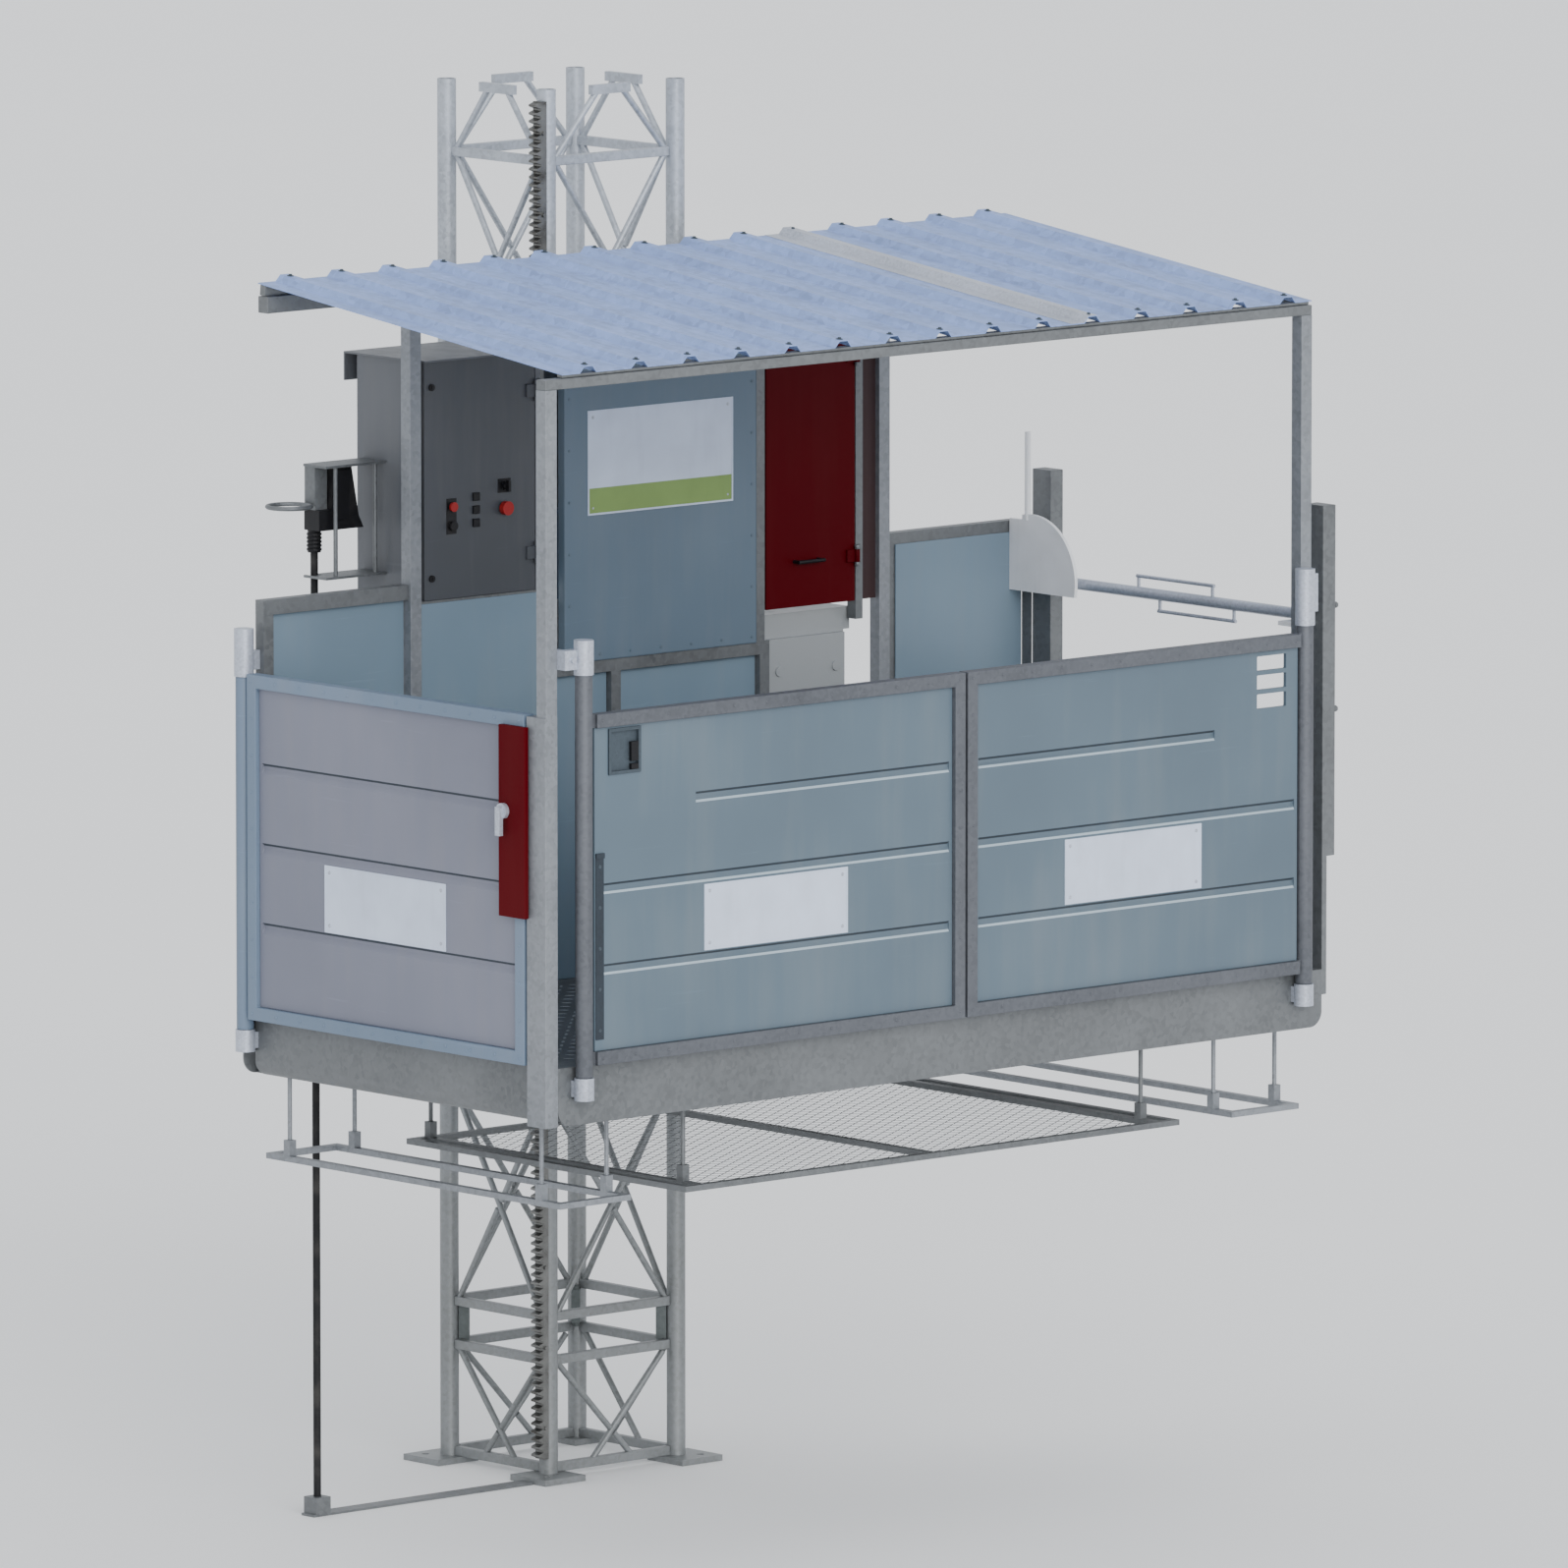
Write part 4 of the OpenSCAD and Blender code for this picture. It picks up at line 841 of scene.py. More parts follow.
def bare_plate(name, low, high, across, facing, body):
    """A plate between two corners on a face; across is its horizontal axis, 0 or 1."""
    deep = 1 - across
    form = bmesh.new()

    def slab(a0, a1, z0, z1, near, far, edge):
        first = Vector((0.0, 0.0, z0))
        second = Vector((0.0, 0.0, z1))
        first[across], second[across] = a0, a1
        first[deep], second[deep] = low[deep] - far, low[deep] - near
        add_block(form, first, second, edge)

    a0, a1 = low[across], high[across]
    slab(a0, a1, low.z, high.z, 0.0, PLATE_T, PLATE_EDGE)
    for b0, b1 in ((a0, a0 + RIM_W), (a1 - RIM_W, a1)):
        slab(b0, b1, low.z, high.z, PLATE_T, RIM_OUT, RIM_EDGE)
    for z0, z1 in ((low.z, low.z + RIM_W), (high.z - RIM_W, high.z)):
        slab(a0 + RIM_W, a1 - RIM_W, z0, z1, PLATE_T, RIM_OUT, RIM_EDGE)
    formed(name, form, None, body, white_enamel)
    corners = []
    for along in (a0 + RIVET_INSET, a1 - RIVET_INSET):
        for height in (low.z + RIVET_INSET, high.z - RIVET_INSET):
            spot = Vector((0.0, 0.0, height))
            spot[across] = along
            spot[deep] = low[deep] - PLATE_T
            corners.append((spot, facing))
    fasteners(name + "_rivets", corners, DOME_TREE, slot="bright_zinc", body=body, **RIVET)

# %% Plates on the gates and the wall
LEAF_PLATE_Z = (0.497, 0.702)
LEAF_PLATES = (("leaf_left", (0.560, 1.150)), ("leaf_right", (2.060, 2.640)))
DOOR_PLATE_Y, DOOR_PLATE_Z = (0.476, 1.047), (0.495, 0.704)
WALL_PLATE_X, WALL_PLATE_Z = (1.346, 1.955), (1.646, 1.977)

leaf_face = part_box("leaf_left_infill")[0].y
door_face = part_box("left_door_infill")[0].x
wall_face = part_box("machine_wall")[0].y
for leaf, span in LEAF_PLATES:
    corners = [face_point(x, z, leaf_face) for x, z in zip(span, LEAF_PLATE_Z)]
    bare_plate(leaf + "_plate", *corners, 0, FRONT, leaf)
corners = [
    Vector((door_face, PLATFORM.y + y, PLATFORM.z + z)) for y, z in zip(DOOR_PLATE_Y, DOOR_PLATE_Z)
]
bare_plate("left_door_plate", *corners, 1, LEFT, "left_door")
corners = [face_point(x, z, wall_face) for x, z in zip(WALL_PLATE_X, WALL_PLATE_Z)]
bare_plate("wall_plate", *corners, 0, FRONT, "platform")

# %% Green band
BAND_H = 0.085
BAND_T = 0.0006
BAND_EDGE = 0.0002

form = bmesh.new()
band_face = wall_face - PLATE_T
band_low = face_point(WALL_PLATE_X[0] + RIM_W, WALL_PLATE_Z[0] + RIM_W, band_face - BAND_T)
band_high = face_point(WALL_PLATE_X[1] - RIM_W, WALL_PLATE_Z[0] + BAND_H, band_face)
add_block(form, band_low, band_high, BAND_EDGE)
formed("wall_plate_band", form, None, "platform", green_enamel)

# %% [markdown]
# ## Expanded mesh
# The middle frame under the base carries expanded metal: one sheet, slit and drawn into
# lozenges. A sheet with see-through patches would be lighter, but it has no thickness, and a mesh
# file loses it. A tree sweeps a flat strand round one lozenge and stands it on a grid. As lozenges
# share their sides, one for every second place is enough. The solid has plain sheets there, so
# its bars are copied without them, and the copy stands for the node.

# %% Separate solids of a mesh
def islands(form):
    """Groups a bmesh's faces into its separate solids."""
    left = set(form.faces)
    groups = []
    while left:
        group = set()
        queue = [left.pop()]
        while queue:
            item = queue.pop()
            group.add(item)
            near = {f for e in item.edges for f in e.link_faces} & left
            left -= near
            queue += near
        groups.append(group)
    return groups

# %% Bars of the middle frame
SHEET_LIMIT = 0.005

form = bmesh.new()
form.from_mesh(nodes["contact_middle"].data)
bmesh.ops.remove_doubles(form, verts=form.verts, dist=MERGE)
panels = []
for group in islands(form):
    spots = [v.co for f in group for v in f.verts]
    low = Vector([min(p[i] for p in spots) for i in range(3)])
    high = Vector([max(p[i] for p in spots) for i in range(3)])
    if high.z - low.z < SHEET_LIMIT:
        panels.append((low, high))
        bmesh.ops.delete(form, geom=list(group), context="FACES")
contact_frame = formed("contact_middle_bars", form, "galvanised", "contact_middle")
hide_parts("contact_middle")

# %% Lozenge tree
def lozenge_tree():
    """A tree that sweeps a flat strand round a circle of four corners and stands it on a grid."""
    tree = Grower("expanded_metal", width="Float", depth="Float", across="Int", along="Int",
                  strand_width="Float", strand_thickness="Float", lozenge="Vector")
    given = tree.given
    grid = tree.node("GeometryNodeMeshGrid", {
        "Size X": given["width"], "Size Y": given["depth"],
        "Vertices X": given["across"], "Vertices Y": given["along"]})
    ring = tree.node("GeometryNodeMeshCircle", {"Vertices": 4, "Radius": 0.5})
    shape = tree.node("GeometryNodeTransform", {"Geometry": ring, "Scale": given["lozenge"]})
    line = tree.node("GeometryNodeMeshToCurve", {"Mesh": shape})
    strand = tree.node("GeometryNodeCurvePrimitiveQuadrilateral", {
        "Width": given["strand_width"], "Height": given["strand_thickness"]})
    lozenge = tree.node("GeometryNodeCurveToMesh", {"Curve": line, "Profile Curve": strand})
    return tree.close(tree.stand(lozenge, grid))


LOZENGES = lozenge_tree()

# %% Expanded panels
LOZENGE_X = 0.062
LOZENGE_Y = 0.040
STRAND_W = 0.003
STRAND_T = 0.0012

sheets = bmesh.new()
for low, high in sorted(panels, key=lambda panel: tuple(panel[0])):
    width, depth = high.x - low.x, high.y - low.y
    across, along = round(width / LOZENGE_X), round(depth / LOZENGE_Y)
    step_x, step_y = width / across, depth / along
    panel = LOZENGES.grow(
        "expanded_panel", bpy.data.meshes.new("expanded_panel"), width=width - step_x,
        depth=depth - step_y, across=across, along=along, strand_width=STRAND_W,
        strand_thickness=STRAND_T, lozenge=(step_x, step_y, 1.0), finish=finish["galvanised"])
    panel.transform(Matrix.Translation((low + high) / 2))
    sheets.from_mesh(panel)
formed("contact_mesh", sheets, "galvanised", "contact_middle")

# %% [markdown]
# ## Roof lap and roof screws
# The roof is laid in two lengths. Where they lap, the upper sheet follows one rib of the lower
# one, and its fresh edge is brighter. Screws with wide washers hold every rib to the beams at
# the front and the rear. A pale stripe in the finish could stand for the lap, but the step of the
# sheet shows at the eaves, so a thin strip is bent over the rib.

# %% Places on the roof
ROOF_START = 0.010
ROOF_RUN = 1.430
ROOF_RISE = 0.165
ROOF_FRONT = 2.305
ROOF_RIBS = 15
RIB_FIRST = 0.030
RIB_PITCH = 3.125 / ROOF_RIBS
RIB_RISE = 0.020
SHEET_T = 0.003

roof_slope = math.atan2(ROOF_RISE, ROOF_RUN)
roof_length = math.hypot(ROOF_RISE, ROOF_RUN)
roof_up = Vector((0.0, -math.sin(roof_slope), math.cos(roof_slope)))
roof_along = Vector((0.0, math.cos(roof_slope), math.sin(roof_slope)))


def rib_middle(rib):
    return RIB_FIRST + (rib + 0.5) * RIB_PITCH


def roof_point(x, along, up):
    """A point on the roof: along is the way up the slope, up the height over the sheet's underside."""
    return on_platform(x, ROOF_START, ROOF_FRONT) + roof_along * along + roof_up * up


print("slope of the roof in degrees:", round(math.degrees(roof_slope), 2))

# %% Roof lap
LAP_RIB = 10
LAP_T = 0.0014
LAP_INSET = 0.001
LAP_LINE = ((-0.092, 0.0), (-0.033, 0.0), (-0.016, RIB_RISE), (0.016, RIB_RISE), (0.033, 0.0))

outlines = []
for along in (LAP_INSET, roof_length - LAP_INSET):
    lower = [roof_point(rib_middle(LAP_RIB) + x, along, up + SHEET_T) for x, up in LAP_LINE]
    upper = [point + roof_up * LAP_T for point in lower]
    outlines.append(lower + upper[::-1])
form = bmesh.new()
add_prism(form, outlines)
formed("roof_lap", form, "bright_zinc", "platform")

# %% Roof screws
ROOF_SCREW = {"radius": 0.006, "height": 0.006, "washer": 0.011}
SCREW_FRONT = 0.020
SCREW_REAR = 0.030

roof_heads = []
for along in (SCREW_FRONT, roof_length - SCREW_REAR):
    ends = [roof_point(rib_middle(rib), along, RIB_RISE + SHEET_T) for rib in (0, ROOF_RIBS - 1)]
    roof_heads += row(ends, ROOF_RIBS, roof_up)
fasteners("roof_screws", roof_heads, HEX_TREE, slot="latch_plate", body="platform", **ROOF_SCREW)

# %% [markdown]
# ## Small pieces on the gates
# A dark guard strip covers the gap beside the left leaf's hinge tube, and the latch plate of
# that leaf has two black catches in its pocket. Dark paint would show the place of both, but not
# their shadows, so they are blocks with rounded edges.

# %% Guard strip
STRIP_T = 0.003
STRIP_EDGE = 0.0006
STRIP_X = (0.1175, 0.150)
STRIP_Z = (0.262, 0.820)
STRIP_CAP = (0.152, 0.836)

# The guard strip's dark zinc is darkened further as painted shade.
guard_zinc = zinc("guard_zinc", linear(48, 56, 64), spangle=120.0, gloss=0.5, wave=0.0008, metallic=0.4)
strip_face = leaf_face - STRIP_T
strip_foot = face_point(STRIP_X[0], STRIP_Z[0], strip_face)
strip_head = face_point(STRIP_X[1], STRIP_Z[1], leaf_face)
cap_foot = face_point(STRIP_X[0], STRIP_Z[1], strip_face - STRIP_T)
form = bmesh.new()
add_block(form, strip_foot, strip_head, STRIP_EDGE)
add_block(form, cap_foot, face_point(*STRIP_CAP, leaf_face), STRIP_EDGE)
formed("leaf_guard_strip", form, "latch_plate", "leaf_left", guard_zinc)

# %% Catches
CATCH_RISES = ((0.036, 0.096), (0.011, 0.028))
CATCH_FAR, CATCH_NEAR = 0.040, 0.0105
CATCH_OUT, CATCH_IN = 0.001, 0.0108
CATCH_EDGE = 0.0015

latch_low, latch_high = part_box("leaf_left_latch")
form = bmesh.new()
for below, above in CATCH_RISES:
    low = Vector((latch_high.x - CATCH_FAR, latch_low.y - CATCH_OUT, latch_low.z + below))
    high = Vector((latch_high.x - CATCH_NEAR, latch_low.y + CATCH_IN, latch_low.z + above))
    add_block(form, low, high, CATCH_EDGE)
formed("leaf_catches", form, "black_plastic", "leaf_left")

# %% Guard rivets
STRIP_RIVETS = 5
STRIP_RIVET_X = 0.134
STRIP_RIVET_Z = (0.290, 0.795)

strip_heads = row([face_point(STRIP_RIVET_X, z, strip_face) for z in STRIP_RIVET_Z], STRIP_RIVETS, FRONT)
fasteners("leaf_guard_rivets", strip_heads, DOME_TREE, slot="latch_plate", body="leaf_left", **RIVET)

# %% [markdown]
# ## Cabinet trim
# The cabinet door has dark legend plates round its buttons, a column of three blank switches
# and two quarter turn locks. The plates leave square holes, so that the buttons can travel. A
# Boolean modifier could cut these, but strips laid round a hole give cleaner faces.

# %% A legend plate
HINGE_OUT = 0.019
LEGEND_T = 0.0015
LEGEND_HOLE = 0.0095

door_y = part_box("cabinet_door")[0].y + HINGE_OUT


def holed_plate(form, holes, margin):
    """A legend plate with square holes round the middles in holes, lowest first."""
    half = LEGEND_HOLE
    x0, x1 = holes[-1][0] - margin[0], holes[-1][0] + margin[0]
    lowest = holes[0][1] - margin[1]
    sheets = []
    for x, z in holes:
        sheets.append((x0, x1, lowest, z - half))
        sheets.append((x0, x - half, z - half, z + half))
        sheets.append((x + half, x1, z - half, z + half))
        lowest = z + half
    sheets.append((x0, x1, lowest, holes[-1][1] + margin[1]))
    for a, b, c, d in sheets:
        add_block(form, face_point(a, c, door_y - LEGEND_T), face_point(b, d, door_y))


def button_place(node):
    """The middle of a button in the platform's frame, as x and z."""
    place = middle(node) - PLATFORM
    return place.x, place.z

# %% Legend plates and blank switches
BUTTON_PLATE = (0.020, 0.026)
SWITCH_PLATE = (0.026, 0.022)
BLANK_X = 0.881
BLANK_HEIGHTS = (1.662, 1.703, 1.744)
BLANK_HALF = 0.013
BLANK_OUT = 0.009
BLANK_EDGE = 0.002

form = bmesh.new()
holed_plate(form, (button_place("lower_button"), button_place("start_button")), BUTTON_PLATE)
holed_plate(form, (button_place("mode_switch"),), SWITCH_PLATE)
for height in BLANK_HEIGHTS:
    low = face_point(BLANK_X - BLANK_HALF, height - BLANK_HALF, door_y - BLANK_OUT)
    high = face_point(BLANK_X + BLANK_HALF, height + BLANK_HALF, door_y)
    add_block(form, low, high, BLANK_EDGE)
formed("cabinet_legends", form, "black_plastic", "cabinet_door")

# %% Cabinet locks
LOCK_X = 0.700
LOCK_HEIGHTS = (1.50, 2.10)
LOCK_R = 0.011
LOCK_OUT = 0.006
BIT_OUT = 0.0085
BIT_HALF = (0.002, 0.006)

lock_face = door_y - LOCK_OUT
form = bmesh.new()
for height in LOCK_HEIGHTS:
    add_rod(form, face_point(LOCK_X, height, lock_face), face_point(LOCK_X, height, door_y), LOCK_R)
    low = face_point(LOCK_X - BIT_HALF[0], height - BIT_HALF[1], door_y - BIT_OUT)
    high = face_point(LOCK_X + BIT_HALF[0], height + BIT_HALF[1], lock_face)
    add_block(form, low, high)
formed("cabinet_locks", form, "black_plastic", "cabinet_door")

# %% [markdown]
# ## Pull and socket
# A bow handle opens the red service door. The cable enters the black socket through a ribbed
# boot, and a hinged lid closes the socket's front. A bent curve would give a rounder handle, but
# from a few steps off three round bars look the same, and the same helper makes the boot's ribs.

# %% Service door pull
PULL_X = (2.215, 2.315)
PULL_Z = 1.43
PULL_R = 0.006
PULL_OUT = 0.028

red_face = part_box("service_door")[0].y + HINGE_OUT
pull_face = red_face - PULL_OUT
form = bmesh.new()
for x in PULL_X:
    add_rod(form, face_point(x, PULL_Z, pull_face), face_point(x, PULL_Z, red_face), PULL_R)
add_rod(form, face_point(PULL_X[0] - PULL_R, PULL_Z, pull_face),
        face_point(PULL_X[1] + PULL_R, PULL_Z, pull_face), PULL_R)
formed("service_pull", form, "black_plastic", "service_door")

# %% Cable boot and socket lid
BOOT_RIBS = 5
BOOT_STEP = 0.012
BOOT_RIB = 0.006
BOOT_R = 0.024
LID_X = (0.068, 0.124)
LID_BELOW, LID_ABOVE = 0.100, 0.012
LID_T = 0.004
LID_EDGE = 0.0015

socket_low, socket_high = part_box("cable_socket")
form = bmesh.new()
for i in range(BOOT_RIBS):
    foot = Vector((cable_x, cable_y, socket_low.z + BOOT_RIB + BOOT_STEP * i))
    add_rod(form, foot, foot + Vector((0, 0, BOOT_RIB)), BOOT_R)
lid_low = Vector((socket_low.x + LID_X[0], socket_low.y - LID_T, socket_low.z + LID_BELOW))
lid_high = Vector((socket_low.x + LID_X[1], socket_low.y, socket_high.z - LID_ABOVE))
add_block(form, lid_low, lid_high, LID_EDGE)
formed("socket_boot", form, "black_plastic", "platform")

# %% [markdown]
# ## Tread bars
# The deck and the ramp are tread plate: short raised bars, each at right angles to its
# neighbours. Bump could fake them, but they stand out at the edge of the ramp and shine along
# their flanks. A tree stands a low bar on every point of a grid, turned by the angles that the
# point carries. There are over a thousand, so a bar has few faces.

# %% Tread tree
TREAD_SIDES = 8
TREAD_TAPER = 0.32


def tread_tree():
    """A tree that stands a bar on each point."""
    tree = Grower("tread_bars", bar_size="Vector")
    bar = tree.node("GeometryNodeMeshCone", {
        "Vertices": TREAD_SIDES, "Radius Bottom": 0.5, "Radius Top": TREAD_TAPER, "Depth": 1.0})
    shape = tree.node("GeometryNodeTransform", {"Geometry": bar, "Scale": tree.given["bar_size"]})
    return tree.close(tree.stand(shape, tree.given["start"], Rotation=tree.carried("turn")))


TREADS = tread_tree()

# %% Bars on a face
TREAD_STEP = 0.055
TREAD_SIZE = (0.036, 0.011, 0.0014)
TREAD_TURN = math.radians(45)

tread_steel = zinc("tread_steel", linear(168, 171, 174), spangle=120.0, gloss=0.3, wave=0.0006, metallic=0.6)


def tread_bars(name, corner, first, second, tilt, slot, body):
    """Bars on the face that starts at corner and spans first by second; tilt turns them to it."""
    counts = [max(1, int(side.length / TREAD_STEP)) for side in (first, second)]
    spots, turns = [], []
    for i in range(counts[0]):
        for j in range(counts[1]):
            spots.append(corner + first * ((i + 0.5) / counts[0]) + second * ((j + 0.5) / counts[1]))
            spin = TREAD_TURN if (i + j) % 2 else -TREAD_TURN
            turns.append((Matrix.Rotation(tilt, 3, "Y") @ Matrix.Rotation(spin, 3, "Z")).to_euler())
    cloud = point_cloud(name, "turn", spots, turns)
    mesh = TREADS.grow(name, cloud, bar_size=TREAD_SIZE, finish=tread_steel)
    piece(name, mesh, slot, body, tread_steel)

# %% Treads on the deck and the ramp
DECK_MARGIN = Vector((0.02, 0.05, 0.0))
RAMP_MARGIN = 0.02
RAMP_FOOT = 0.055
RAMP_FACE = 3.225

deck_low, deck_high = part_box("floor_plate")
deck_corner = Vector((deck_low.x, deck_low.y, deck_high.z)) + DECK_MARGIN
deck_size = deck_high - deck_low - 2 * DECK_MARGIN
tread_bars("deck_treads", deck_corner, Vector((deck_size.x, 0, 0)), Vector((0, deck_size.y, 0)), 0.0,
           "floor_plate", "platform")
ramp_low, ramp_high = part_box("ramp")
ramp_corner = Vector((PLATFORM.x + RAMP_FACE, ramp_low.y + RAMP_MARGIN, ramp_low.z + RAMP_FOOT))
ramp_wide = Vector((0, ramp_high.y - ramp_low.y - 2 * RAMP_MARGIN, 0))
ramp_tall = Vector((0, 0, ramp_high.z - ramp_low.z - RAMP_FOOT - RAMP_MARGIN))
tread_bars("ramp_treads", ramp_corner, ramp_wide, ramp_tall, -math.pi / 2, "bright_zinc", "ramp")

# %% [markdown]
# ## Bolts
# Hex heads hold the hinge clamps of the front leaves and the rack, round screws the edge of the
# machine wall, and a black cap closes the boom's end. The heads need no new tree: only their
# places and sizes differ from those above.

# %% Clamp bolts
BOLT = {"radius": 0.011, "height": 0.008, "washer": 0.015}
RIGHT_CLAMP_X, RIGHT_CLAMP_Y = 3.132, -0.032
RIGHT_CLAMP_Z = (1.352, 1.424)
LEFT_CLAMP = (0.030, -0.037, 1.438)

clamp_places = [on_platform(RIGHT_CLAMP_X, RIGHT_CLAMP_Y, z) for z in RIGHT_CLAMP_Z]
clamp_heads = [(place, FRONT) for place in (*clamp_places, on_platform(*LEFT_CLAMP))]
fasteners("platform_bolts", clamp_heads, HEX_TREE, slot="bright_zinc", body="platform", **BOLT)

# %% Wall screws
WALL_EDGE = 0.020
WALL_CORNER = 0.18
WALL_LEVEL_SCREWS = 7
WALL_UPRIGHT_SCREWS = 5

wall_low, wall_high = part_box("machine_wall")
wall_xs = (wall_low.x + WALL_EDGE, wall_high.x - WALL_EDGE)
wall_heads = []
for height in (wall_low.z + WALL_EDGE, wall_high.z - WALL_EDGE):
    wall_heads += row([Vector((x, wall_low.y, height)) for x in wall_xs], WALL_LEVEL_SCREWS, FRONT)
wall_zs = (wall_low.z + WALL_CORNER, wall_high.z - WALL_CORNER)
for x in wall_xs:
    wall_heads += row([Vector((x, wall_low.y, z)) for z in wall_zs], WALL_UPRIGHT_SCREWS, FRONT)
fasteners("wall_screws", wall_heads, DOME_TREE, slot="blue_grey", body="platform", **RIVET)

# %% Rack bolts
RACK_BOLT = {"radius": 0.007, "height": 0.006}
RACK_BOLTS = 17
RACK_OFF = 0.006
RACK_END = 0.10

rack_low, rack_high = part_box("mast_rack")
rack_x = middle("mast_rack").x + RACK_OFF
rack_zs = (rack_low.z + RACK_END, rack_high.z - RACK_END)
rack_heads = row([Vector((rack_x, rack_low.y, z)) for z in rack_zs], RACK_BOLTS, FRONT)
fasteners("rack_bolts", rack_heads, PLAIN_HEX_TREE, slot="gear_steel", body="mast", **RACK_BOLT)

# %% Boom cap
BOOM_Z = 1.306
CAP_T = 0.010
CAP_R = 0.0165

cap_foot = Vector((middle("boom").x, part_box("boom")[0].y, PLATFORM.z + BOOM_Z))
form = bmesh.new()
add_rod(form, cap_foot + FRONT * CAP_T, cap_foot, CAP_R)
formed("boom_cap", form, "black_plastic", "boom")

# %% [markdown]
# ## Painted shade and highlight on the pressed beads
# A thin strip of painted shade lies on the upper slope of each bead, and a strip of painted
# highlight lies on the lower slope of the front leaves. A mask in the paint would have to know
# where every bead runs. Thin strips on the slopes take their heights from the boards, one piece
# for each leaf and tone.

# %% A strip on a slope
STRIP_LIFT = 0.0004


def slope_strip(form, ends, outward, slope, height):
    """A strip from one end to the other; slope lists its depth and rise at both edges."""
    (near, upper), (far, lower) = slope
    edge = -outward * (far - near) + Vector((0.0, 0.0, lower - upper))
    lift = (outward - edge * (outward.dot(edge) / edge.dot(edge))).normalized() * STRIP_LIFT
    corners = [end - outward * near + Vector((0.0, 0.0, height + upper)) for end in ends]
    add_prism(form, [(spot, spot + edge, spot + edge + lift, spot + lift) for spot in corners])

# %% Strips on the bead slopes
BEAD_SHARES = (0.25, 0.5, 0.75)
UPPER_SLOPE = ((0.0004, 0.0166), (0.0078, 0.0092))
LOWER_SLOPE = ((0.0036, -0.0092), (0.0004, -0.0162))
LEFT_BEAD, LEFT_TOP_BEAD = (0.1296, 1.5734), (0.5272, 1.5734)
RIGHT_BEAD, RIGHT_TOP_BEAD = (1.6966, 3.0404), (1.6966, 2.6972)
DOOR_BEAD = (0.1536, 1.3464)

board_low, board_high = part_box("leaf_left_infill")
bead_rises = [(board_high.z - board_low.z) * share for share in BEAD_SHARES]
bead_shade = powder_coat("bead_shade", linear(46, 54, 62), gloss=0.6, grime=0.2, rub=0.05)
bead_rub = powder_coat("bead_rub", linear(160, 176, 186), gloss=0.35, grime=0.3, rub=0.1)


def front_ends(bead):
    return [Vector((PLATFORM.x + x, leaf_face, board_low.z)) for x in bead]


door_ends = [Vector((door_face, PLATFORM.y + y, board_low.z)) for y in DOOR_BEAD]
# The strips of the kind shade are painted shade, and those of the kind rub are a painted highlight.
leaf_slopes = (("shade", UPPER_SLOPE, bead_shade), ("rub", LOWER_SLOPE, bead_rub))
BEADS = (
    ("leaf_left", FRONT, "blue_grey", leaf_slopes,
     [front_ends(bead) for bead in (LEFT_BEAD, LEFT_BEAD, LEFT_TOP_BEAD)]),
    ("leaf_right", FRONT, "blue_grey", leaf_slopes,
     [front_ends(bead) for bead in (RIGHT_BEAD, RIGHT_BEAD, RIGHT_TOP_BEAD)]),
    ("left_door", LEFT, "lilac_grey", leaf_slopes[:1], [door_ends] * 3),
)
for body, outward, slot, slopes, lines in BEADS:
    for kind, slope, coat in slopes:
        form = bmesh.new()
        for ends, height in zip(lines, bead_rises):
            slope_strip(form, ends, outward, slope, height)
        formed(body + "_bead_" + kind, form, slot, body, coat)

# %% [markdown]
# ## Rounded ends of the base
# The end plates of the base are folded under along their lower edge, with the same round as the
# ends of the long channels. A bevel would round every edge of the base alike, so each fold is
# drawn as a quarter round of thin sheet between the channels.

# %% Folded end plates
FOLD_RADIUS = 0.050
FOLD_T = 0.004
FOLD_STEPS = 12
FOLD_Y = (0.0605, 1.4295)
PLATFORM_LENGTH = 3.200


def fold_arc(radius, y, right):
    """Points of a quarter round from the end plate down to the lower edge."""
    points = []
    for step in range(FOLD_STEPS + 1):
        angle = math.pi * (1 + 0.5 * step / FOLD_STEPS)
        x = FOLD_RADIUS + radius * math.cos(angle)
        z = FOLD_RADIUS + radius * math.sin(angle)
        points.append(on_platform(PLATFORM_LENGTH - x if right else x, y, z))
    return points


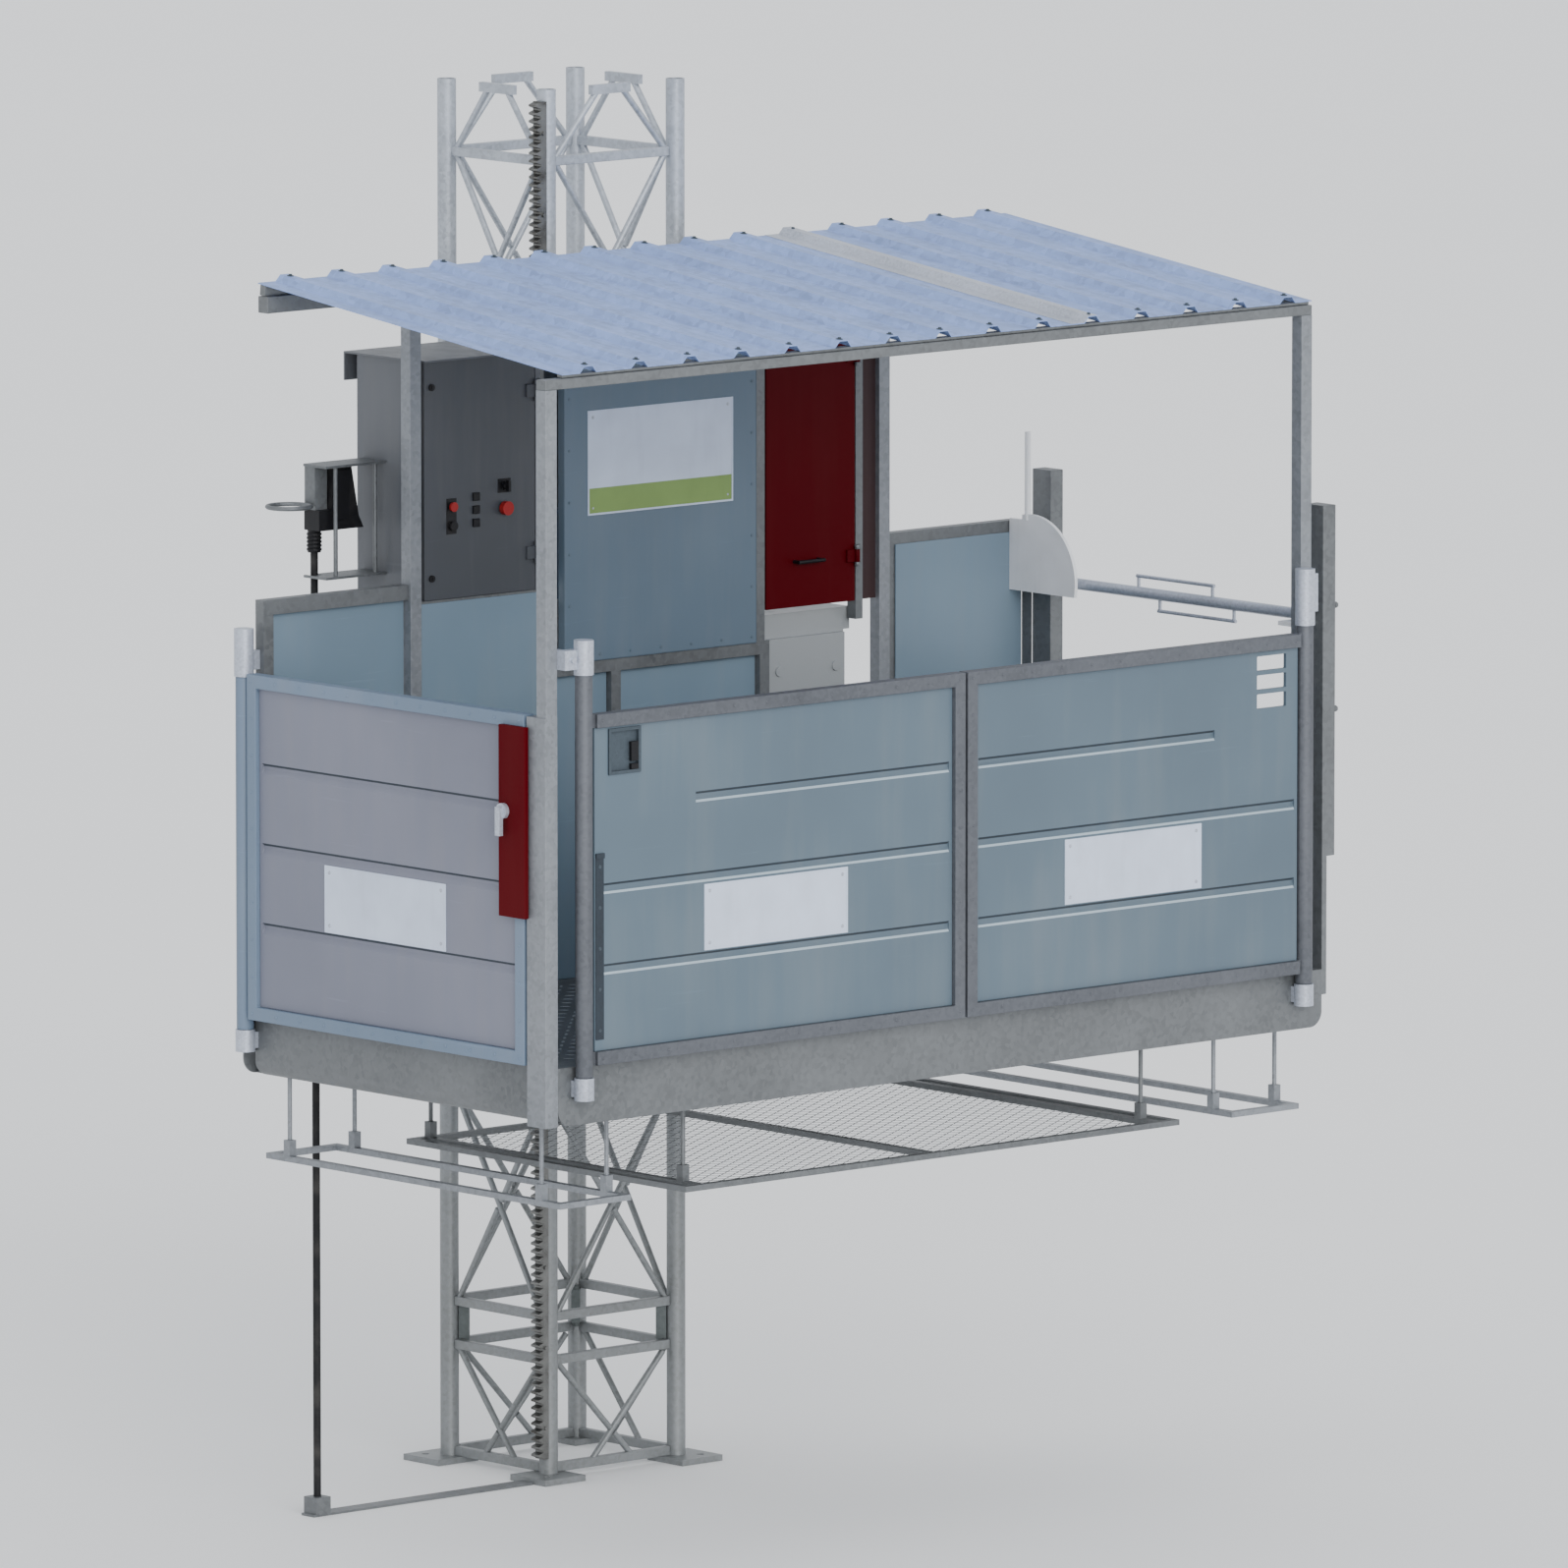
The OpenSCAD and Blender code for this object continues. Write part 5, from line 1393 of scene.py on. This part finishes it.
form = bmesh.new()
for right in (False, True):
    add_prism(form, [
        fold_arc(FOLD_RADIUS, y, right) + fold_arc(FOLD_RADIUS - FOLD_T, y, right)[::-1] for y in FOLD_Y
    ])
formed("base_folds", form, "galvanised", "platform")

# %% [markdown]
# ## Bolts of the drive
# Behind the machine wall two gear motors and the safety device sit on the carriage, each on the
# shaft of its pinion. A ring of bolts closes every housing, and four screws hold the lid of each
# terminal box. Their places could be typed in, but a ring that is worked out from its pinion
# stays on the shaft.

# %% A ring of bolts
def bolt_ring(shaft, face, radius, count):
    """Heads in a ring round a shaft along Y, on a face towards the front."""
    heads = []
    for i in range(count):
        angle = 2 * math.pi * (i + 0.5) / count
        place = Vector((shaft.x + radius * math.cos(angle), face, shaft.z + radius * math.sin(angle)))
        heads.append((place, FRONT))
    return heads

# %% Drive bolts
COVER_RING, COVER_BOLTS = 0.050, 6
FLANGE_RING, FLANGE_BOLTS = 0.090, 8
FLANGE_T = 0.020
BOX_HALF = 0.030
BOX_RISE = (0.160, 0.230)
HOUSING_BOLT = {"radius": 0.007, "height": 0.005}

cover_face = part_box("gearboxes")[0].y
lid_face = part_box("motors")[0].x
lid_y = middle("motors").y
cover_heads, lid_heads = [], []
for pinion in ("pinion_lower", "pinion_upper"):
    shaft = middle(pinion)
    cover_heads += bolt_ring(shaft, cover_face, COVER_RING, COVER_BOLTS)
    for rise in BOX_RISE:
        for y in (lid_y - BOX_HALF, lid_y + BOX_HALF):
            lid_heads.append((Vector((lid_face, y, shaft.z + rise)), LEFT))
flange_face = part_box("safety_brake")[1].y - FLANGE_T
flange_heads = bolt_ring(middle("pinion_safety"), flange_face, FLANGE_RING, FLANGE_BOLTS)
fasteners("gearbox_bolts", cover_heads, PLAIN_HEX_TREE, slot="casting_grey", body="platform", **HOUSING_BOLT)
fasteners("brake_bolts", flange_heads, PLAIN_HEX_TREE, slot="bright_zinc", body="platform", **HOUSING_BOLT)
fasteners("motor_lid_screws", lid_heads, DOME_TREE, slot="bright_zinc", body="platform", **RIVET)
